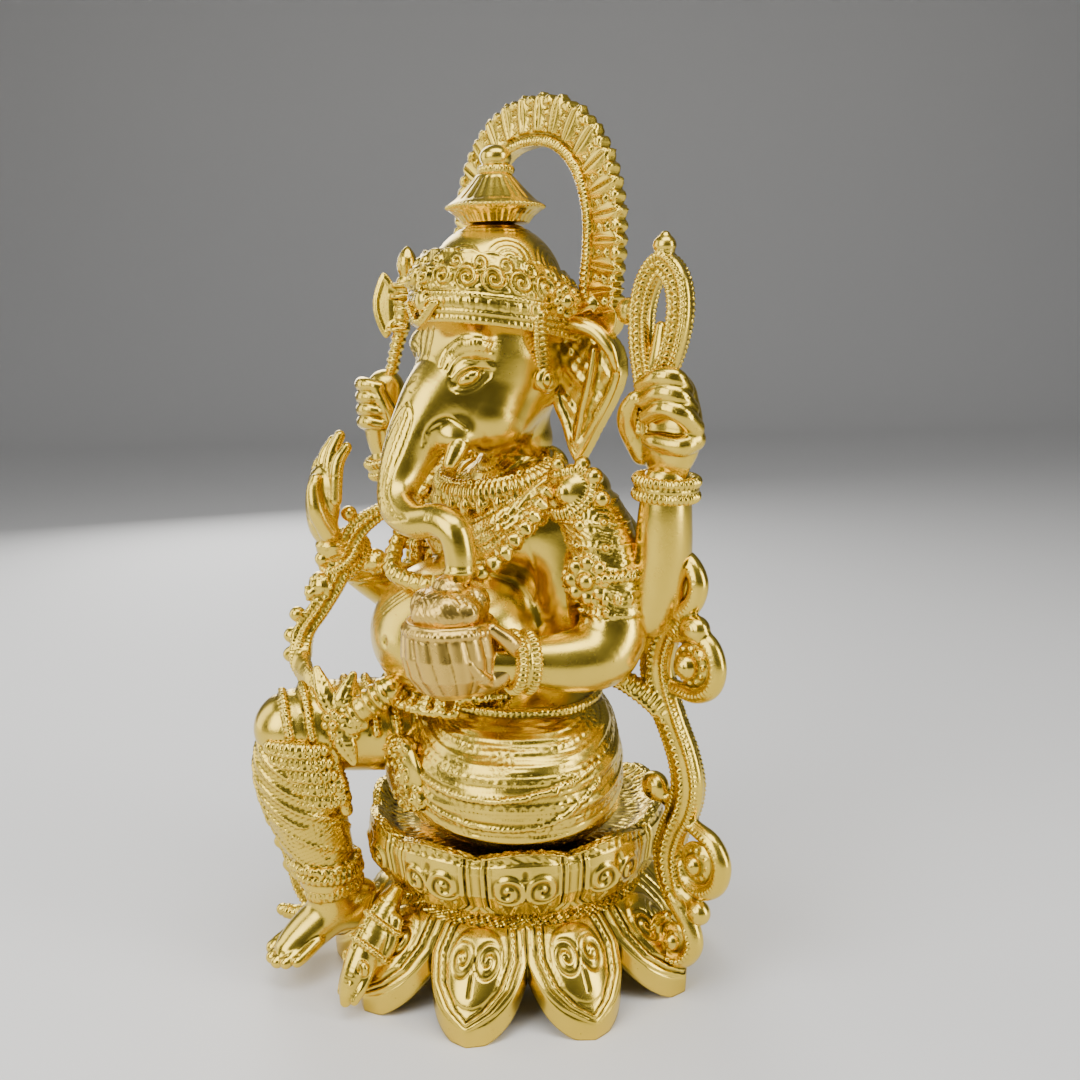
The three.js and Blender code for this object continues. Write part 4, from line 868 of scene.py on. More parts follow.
def ears():
    outline = smooth_line([[x, z, 0] for x, z in EAR], 1.0, True)[:, :2]
    for s, side in ((1, "left"), (-1, "right")):
        c = side_clay(s, (14, 50), (-1, 25), (198, 258), 0.5)

        def plate(x, y, z):
            d = inside_field(outline, (s * x)[:, 0], z[0])[:, None, :]
            u, v = s * x - 31, z - 230
            front = 1.7 + 1.5 * bump(d + 1.8, 2.0) ** 0.6
            front = front + (0.55 * bump(cell(u * 0.8 + 0.3 * v + 2.4 * np.sin(v / 8), 9.4), 2.6)
                + 0.4 * lump(x, y, z, 11.0) + 0.1 * lump(x, y, z, 3.2)) * (d < -3.0)
            back = 1.9 + 0.12 * lump(x, y, z, 5)
            curl = 0.0016 * (u * u) + 0.0006 * v * v
            yy = y - 10.0 + curl * 1.6 - 0.3 * (s * x - 17)
            return np.maximum(d, np.where(yy < 0, -yy - front, yy - back)) * 0.85
        shape(c, plate)
        c.tube([(s * 19, 8, 247.4), (s * 24, 6.6, 251.6), (s * 31, 8.2, 253.0), (s * 38.5, 11.0, 250.6),
            (s * 44.0, 13.2, 244.4), (s * 45.4, 15.0, 237.6)], [1.8, 2.7, 3.1, 3.0, 2.6, 1.6], 1.0)
        c.tube([(s * 37, 12.2, 243.5), (s * 35, 11.8, 233), (s * 31.5, 11.2, 222), (s * 28.4, 10.8, 210)],
            [1.4, 1.6, 1.5, 1.2], 2.2)
        c.groove([(s * 25, 4.4, 249.2), (s * 31, 5.6, 250.2), (s * 38, 8.2, 247.6)], 0.6, 0.4)
        cast("ear_" + side, c)
        far = 1.15 if s > 0 else 0.3
        c = side_clay(s, (6, 21), (-44, -23), (198, 220), 0.4)
        c.tube([(s * 12.5, -30, 214), (s * 13.5, -34, 209.5), (s * 14, -34 - 3 * far, 209.5 - 4 * far)],
            [4.4, 3.9, 2.6], 0.4)
        c.groove(ring((s * 12.6, -31.6, 212.4), (4.6, 2.6, 2.6), 14), 0.6, 0.4, closed=True)
        cast("tusk_" + side, c)


# ---------------------------------------------------------------- halo
def halo():
    half = [[38, 256], [36.5, 266], [38.5, 279], [38.5, 294], [34, 308.5], [25.5, 319.5], [13.5, 326.5],
        [-1, 328.6]]
    line = smooth_line([[x, z, 0] for x, z in half + [[-2 - x, z] for x, z in half[-2::-1]]], 1.5)[:, :2]
    c = Clay((-55, 8, 244), (53, 25, 341), 0.5)
    x2, z2 = c.axes[0][:, None], c.axes[2][None, :]
    arc, off, total = line_field(line, x2, z2)
    w = off
    u = cell(arc, 9.0)
    f = np.sqrt(np.clip(1 - ((w - 1.6) / 7.2) ** 2, 0, 1))
    e = np.abs(u) / np.maximum(3.7 * f, 0.05)
    leaf = np.clip(1 - e ** 2, 0, 1) ** 0.5
    thick = 1.9 + 1.35 * leaf * (1 - 0.7 * np.exp(-(u / 0.45) ** 2)) * (w > -5.5)
    thick += 0.7 * bump(e - 1.15, 0.3) * bump(cell(arc + 1.2 * w, 1.35), 0.62) * (w > -4.2)
    v = cell(arc + 4.5, 9.0)
    thick += 1.6 * np.sqrt(bump(np.hypot(v, w - 7.0), 1.9)) + 1.2 * np.sqrt(bump(np.hypot(v, w - 2.6),
        1.3)) + 0.9 * np.sqrt(bump(np.hypot(v, w + 1.6), 1.0))
    thick = np.where(w < -5.2, 1.9 + 1.9 * np.sqrt(bump(w + 7.5, 2.3)) + 0.34 * np.cos(TURN * arc / 1.75),
        thick)
    thick = np.where(np.abs(w + 4.8) < 0.55, 1.3, thick)
    edge = 8.5 + 1.0 * np.cos(TURN * arc / 4.5) + 0.5 * np.cos(TURN * arc / 9.0 + 0.5)
    edge = np.where(w < 0, 9.4, edge) - 1.6 * np.clip(1 - np.minimum(arc, total - arc) / 9, 0, 1)
    side = np.abs(w) - edge
    shape(c, lambda x, y, z: np.maximum(side[:, None, :], (np.abs(y - 17) - thick[:, None, :]) * 0.8))
    for s in (1, -1):
        c.tube([(s * 33 - (s < 0) * 2, 14.8, 260), (s * 24, 12.4, 256), (s * 14, 9.6, 252)],
            [3.2, 3.4, 3.4], 1.5)
    cast("halo", c)


crown()
ears()
halo()


# ---------------------------------------------------------------- torso and jewellery
GARLAND = [[36, -10, 196], [39, -20, 187], [37.5, -29, 177.5], [33, -36, 169.5], [25, -42, 165],
    [14, -46.5, 162.5], [1, -48, 162], [-12, -46, 163], [-23, -39, 167],
           [-31, -29, 174.5], [-36, -19, 184], [-36, -9, 194]]


def torso():
    c = Clay((-46, -59, 104), (42, 31, 213), 0.68)
    c.ball((-4, -20, 137), (38.6, 35.6, 29.6), 0)
    c.tube([(0, 3, 118, 24), (0, 2, 150, 24), (0, 2, 172, 24), (0, 3, 187, 20), (0, 4, 200, 14),
        (0, 5, 208, 11)], k=5, up=(0, 1, 0), flat=1.0)
    for s in (1, -1):
        c.ball((s * 18, -4, 178), (19, 19, 20), 6)
        c.ball((s * 26, 2, 190), (14, 14, 12), 6)
        c.ball((s * 14, -17, 176), (13, 9, 11), 6)
        c.tube([(s * 28, 1, 136, 13), (s * 31, 2, 156, 14.5), (s * 31, 2, 178, 13)], k=6)

    def bands(x, y, z):
        rho = np.sqrt(x ** 2 + (1.15 * (z - 206)) ** 2)
        a = np.arctan2(x, 206 - z) * rho
        line = np.interp(x, [-36, -23, 0, 25, 36], [188, 172, 165, 168, 184])
        on = (y < 6) & (z > line) & (rho < 52)
        ring = -0.62 * bump(cell(rho, 5.4) - 2.7, 0.55) - 0.62 * bump(cell(rho, 5.4) + 2.7, 0.55)
        hatch = 0.34 * bump(cell(a + 0.35 * rho * np.sign(np.sin(rho * math.pi / 5.4)), 1.5), 0.45)
        f = np.where(on, hatch - ring, 0)
        back = (y > 4) & (z > 130)
        f = f + np.where(back, 0.5 * bump(cell(z + 0.55 * x, 9.0), 0.8), 0)
        return f
    c.skin_band(bands, 1.8)
    for q in (0.0, 2.6, 5.2):
        c.groove([(28 - q, -14 - q, 186), (20 - q, -30, 174), (8 - q, -40, 163), (-6 - q, -48, 150),
            (-18 - q, -50, 140)], 0.6, 0.5)
    c.groove([(-40, -18, 128), (-26, -47, 126), (-6, -56, 124), (16, -50, 122), (30, -32, 122)], 0.9, 0.5)
    c.groove([(-40, -16, 123), (-26, -45, 121), (-6, -54, 119), (16, -49, 118), (30, -32, 118)], 0.9, 0.5)
    c.rope([(-40, -12, 119), (-30, -38, 117), (-6, -52, 115), (16, -46, 114), (31, -26, 114)], 1.7, 2.0,
        0.35, 0.3)
    c.ball((-6, -57, 139), (2.2, 2.2, 2.6), 0.8, cut=True)
    cast("torso", c)

    c = Clay((-34, -32, 184), (34, 24, 212), 0.5)
    ring = [(25 * math.sin(a), -4 - 19 * math.cos(a), 197 - 5.5 * math.cos(a)) for a in turns(28)]
    c.tube(ring, 4.6, 0, up=(0, 0, 1), flat=0.95, closed=True, mod=ribs(0.4, 2.1))
    for dz, r, pitch in ((3.1, 1.25, 2.4), (-3.0, 1.5, 2.9)):
        k = 1.04 if dz < 0 else 0.98
        c.beads([(25 * k * math.sin(a), -4 - 19 * k * math.cos(a) - 1.6, 197 - 5.5 * math.cos(a) + dz)
            for a in turns(40)], r, pitch, 0.3, closed=True)
    for a in np.radians(range(-75, 80, 15)):
        c.ball((27.6 * math.sin(a), -4 - 23.5 * math.cos(a), 193 - 6 * math.cos(a)), (2.0, 1.6, 3.4), 0.4)
    cast("collar", c)

    c = Clay((-43, -57, 155), (46, -3, 201), 0.5)
    line = smooth_line(GARLAND, 0.5)
    p, t = walk(line, 5.7)
    for i, q in enumerate(p):
        c.ball(q, (3.4, 3.4, 3.4), 0.5)
        for a in turns(5):
            side = unit(np.cross(t[i], (0.3, 0.5, 0.8)))
            other = np.cross(t[i], side)
            c.ball(q + 2.3 * (math.cos(a) * side + math.sin(a) * other) + t[i] * 0.6, 1.55, 0.4)
    c.tube(line[::6], 1.7, 0.4, mod=ribs(0.3, 1.4))
    cast("garland", c)

    for s, side in ((1, "left"), (-1, "right")):
        c = side_clay(s, (31, 62), (-15, 14), (178, 210), 0.5)
        c.ball((s * 43, 0, 194), (9, 11.6, 9), 0, turn=(0, s * 35, 0))
        arc_ = [(s * 41, -10, 186), (s * 47.5, -8.5, 187), (s * 51.6, -5, 192), (s * 51.5, -3, 198),
            (s * 46.8, -4, 202), (s * 40.5, -7, 201)]
        c.tube(arc_, 1.9, 0.5, mod=ribs(0.35, 1.6))
        c.tube([(q[0] - s * 2.6, q[1] - 1.6, q[2] * 0.86 + 27.2) for q in arc_], 1.3, 0.4, mod=ribs(0.3, 1.4))
        for q, r in (((51.5, -2, 200), 3.4), ((55.2, -2, 192.5), 3.4), ((45.5, -2, 204), 3.0),
                ((55.2, -4, 184.4), 3.2), ((39, -8, 204), 2.6), ((50, -8, 183), 2.6)):
            c.ball((s * q[0], q[1], q[2]), r, 0.5)
        c.ball((s * 43.5, -10.4, 194), (3.2, 2.0, 3.6), 0.4)
        cast("shoulder_ornament_" + side, c)

        c = side_clay(s, (41, 67), (-18, 2), (151, 177), 0.46)
        a0 = math.radians(32)
        u, w = vec((s * math.cos(a0), math.sin(a0), 0)), vec((0, 0, 1))
        n = vec((s * math.sin(a0), -math.cos(a0), 0))
        mid = vec((s * 53.5, -7.5, 164))
        turn = np.stack([u, n, w], 1)
        c.ball(mid, (8.4, 3.4, 8.4), 0, turn=turn)
        for a in turns(8):
            c.ball(mid + 6.3 * (math.cos(a) * u + math.sin(a) * w) + n * 1.6, (2.6, 1.9, 2.6), 0.5, turn=turn)
        for a in turns(24):
            c.ball(mid + 8.8 * (math.cos(a) * u + math.sin(a) * w) + n * 0.4, 1.05, 0.2)
        c.ball(mid + n * 3.2, 3.3, 0.3)
        cast("armlet_" + side, c)


# ---------------------------------------------------------------- arms and hands
def ringed(c, centre, axis, radius):
    """Pair of ribbed bangles about an axis, with a plain one between them."""
    thick, half = 1.9, 2.6
    axis = unit(axis)
    e = unit(np.cross(axis, (0, 0, 1) if abs(axis[2]) < 0.8 else (0, -1, 0)))
    f = np.cross(axis, e)
    for shift, r in ((-half, thick), (0, thick * 0.7), (half, thick)):
        ring = [vec(centre) + axis * shift + (radius + 0.4) * (math.cos(a) * e + math.sin(a) * f)
            for a in turns(18)]
        c.tube(ring, r, 0.3, closed=True, mod=ribs(0.32, 1.7) if shift else None)


def bracelet(name, centre, axis, radius):
    lo, hi = vec(centre) - radius - 6, vec(centre) + radius + 6
    c = Clay(lo, hi, 0.45)
    ringed(c, centre, axis, radius)
    cast(name, c)


def upper_arm(c, s):
    """Ornament on the upper arm: hatched bands, curls and bead drops between the shoulder and the armlet."""
    c.skin_band(lambda x, y, z: np.where(z > 150,
        0.32 * bump(cell(z + 0.5 * np.abs(x), 1.8), 0.5) - 0.5 * bump(cell(z, 8.0), 0.9), 0), 1.8)
    for z, r in ((186, 5.2), (176, 5.0), (153, 4.4)):
        for a in (-60, -5, 50):
            q = math.radians(a)
            c.spiral((s * (51 + 12 * math.sin(q)), 3 - 12 * math.cos(q), z), r, 2.0, 0.6, 0.6, start=a + z,
                bead=1.3)
    for a in range(-80, 90, 20):
        q = math.radians(a)
        p = c.onto([(s * (52 + 13 * math.sin(q)), 4 - 13 * math.cos(q), 157.5)])[0][0]
        c.ball(p, (1.4, 1.4, 2.2), 0.4)


def arms():
    c = Clay((24, -46, 118), (72, 22, 207), 0.62)
    c.tube([(35, 1, 192, 11), (46, 3, 182, 12.6), (53, 4, 164, 12), (55, 3, 146, 12), (54.5, 0, 138, 11)],
        k=0)
    c.tube([(56, 3, 141, 10.8), (55, -4, 136, 12.2), (51, -16, 135, 10.8), (46, -29, 136.5, 8.6),
        (41, -40, 137.8, 7.4)], k=4)
    c.rope([(53 + 14 * math.sin(a), 4 - 14 * math.cos(a), 164 + 2 * math.sin(a)) for a in turns(20)], 1.9,
        2.1, 0.35, 0.4, closed=True)
    c.groove([(47, -10, 128), (54, -4, 124.5), (62, 3, 128)], 0.8, 0.4)
    upper_arm(c, 1)
    cast("arm_front_left", c, ("arm_lf_upper", "arm_lf_fore"))

    c = Clay((26, -2, 138), (84, 30, 203), 0.6)
    c.tube([(34, 10, 190, 9), (46, 13.5, 174, 10.2), (55, 15.5, 160, 10.6), (61, 16, 150, 9.5)], k=0)
    c.tube([(60, 16, 150, 9.2), (64.5, 16, 158, 10.8), (68.5, 15, 172, 10.4), (70.6, 14, 186, 9.6),
        (71.5, 14, 198, 8.4)], k=4)
    c.groove([(52, 8, 148), (57, 5.5, 144), (66, 7, 150)], 1.0, 0.5)
    cast("arm_rear_left", c, ("arm_lr_upper", "arm_lr_fore"))

    c = Clay((-72, -54, 127), (-24, 18, 206), 0.66)
    c.tube([(-35, 1, 192, 11), (-46, 3, 182, 12.6), (-54, 4, 164, 12), (-57, 2, 148, 11.8),
        (-57.5, -2, 141, 10)], k=0)
    c.tube([(-58, 2, 145, 10.4), (-58.5, -8, 141, 11.6), (-58, -22, 149, 10.2), (-57, -36, 159, 8.5),
        (-56, -46, 167, 7.2)], k=4)
    c.rope([(-53.5 - 14 * math.sin(a), 4 - 14 * math.cos(a), 164 + 2 * math.sin(a)) for a in turns(20)],
        1.3, 1.9, 0.3, 0.4, closed=True)
    upper_arm(c, -1)
    cast("arm_front_right", c, ("arm_rf_upper", "arm_rf_fore"))

    c = Clay((-84, -17, 138), (-26, 26, 204), 0.66)
    c.tube([(-34, 10, 190, 9), (-46, 12.5, 174, 10), (-56, 13, 160, 10.5), (-62, 12, 150, 9)], k=0)
    c.tube([(-61, 12.5, 150, 8.8), (-65.5, 10.5, 158, 10.2), (-69.5, 4.5, 172, 9.7), (-71.6, -2, 186, 8.8),
        (-72.5, -7, 199, 7.8)], k=4)
    cast("arm_rear_right", c, ("arm_rr_upper", "arm_rr_fore"))

    bracelet("bangle_lf", (44.6, -32, 137), (-4, -12, 1.2), 9.4)
    bracelet("bangle_lr", (71.3, 14, 196.5), (0.08, 0, 1), 9.9)
    bracelet("bangle_rf", (-56.6, -41, 163), (1, -10, 8), 9.0)
    bracelet("bangle_rr", (-72.4, -6, 196.5), (-0.1, -0.35, 1), 9.3)

    # front left hand under the bowl
    c = Clay((20, -72, 118), (55, -27, 156), 0.48)
    c.tube([(43.5, -35, 137, 6.6), (39, -43, 133, 8.4), (34, -52, 131, 6)], k=0, up=(0, 0, 1), flat=1.35)
    for i in range(4):
        c.tube([(40 - i * 4, -38 - i * 4.6, 130), (45.4 - i * 3, -49 - i * 4, 134.5),
            (46 - i * 3.6, -55 - i * 3.6, 141)], [3.1, 2.8, 2.2], 0.8)
        for dz in (0.0, 2.4):
            c.groove([(47.6 - i * 3.2, -50 - i * 4, 135 + dz), (46 - i * 3.2, -53.6 - i * 3.8, 134.5 + dz),
                (43 - i * 3.2, -54.5 - i * 3.8, 134.5 + dz)], 0.45, 0.3)
    c.tube([(46, -33, 140), (48.5, -39, 146), (46, -45, 151.5)], [3.8, 3.3, 2.4], 1.0)
    cast("hand_front_left", c, ("hand_lf",), "rose")

    # rear left hand holding the noose
    c = Clay((52, -4, 194), (95, 26, 246), 0.5)
    c.tube([(71.5, 14, 198, 7), (71.8, 14.4, 206, 9.4), (72, 15, 216, 13.6), (72.5, 15.4, 226, 11)], k=0,
        up=(0, 1, 0), flat=1.75)
    for i in range(3):
        c.tube([(85 - i * 1.5, 13 - i, 218 + i * 6.2), (84.6 - i * 1.4, 7.2, 223 + i * 5.8),
            (79 - i, 4.4, 224.5 + i * 5.2), (70.5 - i, 4.8, 221.5 + i * 5.2)], [3.7, 3.6, 3.3, 2.6], 0.7)
        c.groove([(86.6 - i * 1.5, 8.5, 222 + i * 6), (83.5 - i * 1.5, 4.0, 224.5 + i * 5.6),
            (80 - i * 1.5, 1.8, 226 + i * 5.2)], 0.5, 0.35)
    c.tube([(84, 14, 214), (83, 9, 212), (75, 6.4, 213), (70, 6.4, 213.5)], [4.2, 3.8, 3.3, 2.6], 0.9)
    c.tube([(61, 13, 208), (59.6, 8, 217), (62, 4.6, 223), (66, 3.6, 227.5)], [4.6, 4.2, 3.5, 2.6], 1.2)
    for q in (((64, 8, 206), (70, 6.6, 209), (77, 6.8, 207)),
            ((60, 8.6, 212), (63, 6.6, 214), (67, 6.2, 214))):
        c.groove(q, 0.5, 0.4)
    cast("hand_rear_left", c, ("hand_lr",))

    # raised right hand, palm outwards
    c = Clay((-70, -63, 162), (-42, -37, 217), 0.45)
    c.tube([(-56, -47, 168, 6.2), (-56.5, -50, 176, 8.4), (-56, -50, 185, 9.8), (-55, -49.5, 192, 9)], k=0,
        up=(0, 1, 0), flat=1.75)
    for x, z, r in ((-62.5, 204.5, 2.6), (-57.5, 210.5, 2.8), (-52.3, 212.8, 2.8), (-47.4, 208.5, 2.6)):
        c.tube([(x + 0.4, -49.4, 187), (x + 0.6, -47.8, (189 + z) / 2 + 2), (x + 1.6, -43.8, z - 1)],
            [r, r * 1.02, r * 0.8], 0.5)
        for t in (0.36, 0.66):
            zz = 190 + (z - 190) * t
            c.groove([(x - 2, -50.8 + 4.4 * t, zz), (x + 0.8, -51.6 + 4.6 * t, zz - 0.4),
                (x + 3.4, -50.8 + 4.4 * t, zz)], 0.45, 0.3)
    c.tube([(-50, -51, 174), (-49.6, -56, 183), (-50.6, -56.6, 191), (-51.4, -55, 195.5)],
        [4.2, 3.7, 3.0, 2.3], 1.2)
    for q in (((-62, -55, 186), (-57, -56, 183.5), (-52, -55.5, 186.5)),
            ((-61, -55.5, 180), (-57, -56, 178), (-54, -55.6, 174))):
        c.groove(q, 0.5, 0.4)
    cast("hand_front_right", c, ("hand_rf",))

    # rear right hand holding the axe
    c = Clay((-86, -25, 195), (-58, 4, 243), 0.5)
    c.tube([(-72.6, -7.5, 199, 6.2), (-73, -8.5, 207, 7.8), (-72.5, -8.6, 217, 9), (-71.5, -8, 228, 8)], k=0)
    for i in range(4):
        c.tube([(-79.6, -9, 212 + i * 5.4), (-77, -16, 214 + i * 5.3), (-70.5, -18.4, 214.5 + i * 5.2),
            (-65.5, -14.6, 213.5 + i * 5.2)], [3.1, 3.2, 3.0, 2.3], 0.6)
    c.tube([(-66, -8, 208), (-63.6, -12, 218), (-66.6, -16, 229)], [3.8, 3.2, 2.4], 1.0)
    cast("hand_rear_right", c, ("hand_rr",))


# ---------------------------------------------------------------- held things
def held():
    c = Clay((9, -74, 124), (53, -30, 157), 0.5)

    def bowl(x, y, z):
        r, q = np.hypot(x - 31, y + 52), np.arctan2(y + 52, x - 31)
        out = np.interp(z, [125.6, 127, 129.5, 135, 142, 149, 152.6, 154.2],
            [6.0, 8.0, 12.6, 16.4, 17.6, 17.0, 15.8, 15.2])
        flute = 0.95 * (1 - np.abs(np.cos(8 * (q + 0.012 * (z - 140)))) ** 0.7) * (z > 129) * (z < 149.6)
        rim = 0.9 * bump(z - 151.4, 1.5) * (0.55 + 0.45 * bump(cell(q * 16, 2.2), 1.0))
        return np.maximum((r - out + flute - rim) * 0.85, np.maximum(126 - z, z - 154))
    shape(c, bowl)
    cast("bowl", c, mat="rose")

    c = Clay((14, -70, 150), (49, -34, 172), 0.5)
    c.ball((31.5, -52, 157), (13.6, 13.6, 9.2), 0)
    for x, y, z, r in ((26, -58, 159, 5.6), (37, -46, 160, 5.8), (37, -57.5, 159, 5.4),
            (26, -46.5, 160, 5.6), (31.5, -52, 163.4, 6.2), (30.5, -62, 157, 4.6), (41.5, -52, 157.5, 4.6)):
        c.ball((x, y, z), r, 0.9)
        for a in turns(6):
            c.groove([(x + r * 0.9 * math.sin(a), y + r * 0.9 * math.cos(a), z + r * 0.25),
                (x + r * 0.3 * math.sin(a), y + r * 0.3 * math.cos(a), z + r)], 0.6, 0.45)
    c.skin_band(lambda x, y, z: 0.25 * lump(x, y, z, 2.1), 1.6)
    cast("sweets", c, mat="rose")

    c = Clay((48, 5, 212), (87, 20, 285), 0.45)
    loop = [(66, 9.5, 216, 3.2), (65, 10.5, 231, 3.6), (61.6, 12, 245, 4.0), (61.2, 12.8, 258, 4.2),
        (64.5, 13.4, 268, 4.3), (70.5, 13.6, 272.6, 4.3), (77, 13.4, 267, 4.3),
            (79.2, 12.8, 257, 4.2), (77, 12, 245, 4.0), (71, 10.8, 231, 3.4)]
    c.tube(loop, k=0, up=(0, 1, 0), flat=1.35)
    line = smooth_line(loop, 1.0)
    for off, r in ((2.9, 1.1), (-2.5, 1.0)):
        d = np.gradient(line[:, :3], axis=0)
        n = np.stack([d[:, 2], np.zeros(len(d)), -d[:, 0]], 1)
        n /= np.maximum(np.linalg.norm(n, axis=1), 1e-6)[:, None]
        for face in (-1, 1):
            c.rope(line[:, :3] + n * off + (0, face * 2.3, 0), r, 1.7, 0.28, 0.15)
    c.beads(line[6:-6, :3] + (0, -3.2, 0), 1.15, 2.5, 0.1)
    c.tube([(66, 11.2, 229), (68.6, 12, 240), (70.2, 12.6, 251)], [3.6, 3.6, 2.6], 0.6, up=(0, 1, 0),
        flat=1.4)
    c.ball((71, 13.6, 278.4), (4.2, 3.8, 4.0), 0.8)
    c.ball((71.4, 13.6, 281.6), (1.8, 1.8, 1.8), 0.5)
    c.groove(ring((71, 13.6, 277.2), (4.3, -3.8, 0), 16), 0.6, 0.5, closed=True)
    c.ball((54.6, 12.6, 257.2), (5.0, 4.0, 4.8), 1.2)
    c.ball((50.6, 12.6, 257.6), (1.9, 2.1, 2.1), 0.4)
    cast("noose", c)

    c = Clay((-80, -20, 200), (-57, 12, 288), 0.45)
    rings = ribs(0.32, 3.1)
    c.tube([(-73.2, -11.5, 203, 2.9), (-71, -8.8, 220, 2.6), (-68.2, -5.4, 240, 2.7),
        (-65.8, -2.4, 254, 3.4), (-65.0, -1.4, 262, 4.2), (-64.3, -0.6, 271, 4.4)], k=0, mod=rings)
    a0 = math.radians(50)
    u = vec((math.cos(a0), math.sin(a0), 0))
    flat_blade = [(-65.5, 268.5), (-68.5, 271.5), (-72.5, 276), (-76, 270), (-77.6, 262.5), (-76, 254.5),
        (-72.5, 249), (-68.5, 254), (-65.5, 256.5)]
    pts = smooth_line([[q[0], q[1], 0] for q in flat_blade], 1.0, True)[:, :2]

    def blade(x, y, z):
        s_ = (x + 65.5) * u[0] + (y + 2.2) * u[1]
        w_ = -(x + 65.5) * u[1] + (y + 2.2) * u[0]
        d = inside_field(pts, s_ - 65.5 + 0 * z, z + 0 * s_)
        thick = np.clip(1.75 + 0.16 * (s_ + 6), 0.7, 1.9) + 0.35 * bump(d + 1.7, 0.8)
        return np.maximum(d, np.abs(w_) - thick) * 0.9
    shape(c, blade, (-80, -16, 246), (-58, 6, 279))
    for z, r in ((252.5, 4.1), (266, 5.2), (270.6, 5.3)):
        t = (z - 203) / 68
        c.tube(ring((-73.2 + 8.9 * t, -11.5 + 10.9 * t, z), (r, r, 0), 14), 1.0, 0.3, closed=True)
    c.tube([(-64.3, -0.6, 270, 4.4), (-64.1, -0.3, 273.4, 2.6), (-63.8, 0.1, 278.8, 4.3),
        (-63.6, 0.3, 283, 2.8), (-63.5, 0.4, 285.6, 0.9)], k=0.4)
    for a in turns(6):
        c.groove([(-64 + 3.4 * math.sin(a), 0 - 3.4 * math.cos(a), 275.5),
            (-63.8 + 4.6 * math.sin(a), 0.1 - 4.6 * math.cos(a), 279),
            (-63.6 + 2 * math.sin(a), 0.3 - 2 * math.cos(a), 284)], 0.6, 0.5)
    cast("axe", c)


torso()
arms()
held()


# ---------------------------------------------------------------- lap and legs
LAP = np.array([[59.3, 4, -5, 26, 23], [64, 9, -10, 38, 32], [72, 12, -13, 44.5, 38],
    [84, 12.5, -14, 47, 40], [96, 11.5, -13, 47, 39], [107, 9, -9, 42.5, 35],
                [115, 5, -5, 36, 29], [120, 2, -2, 30, 24]])


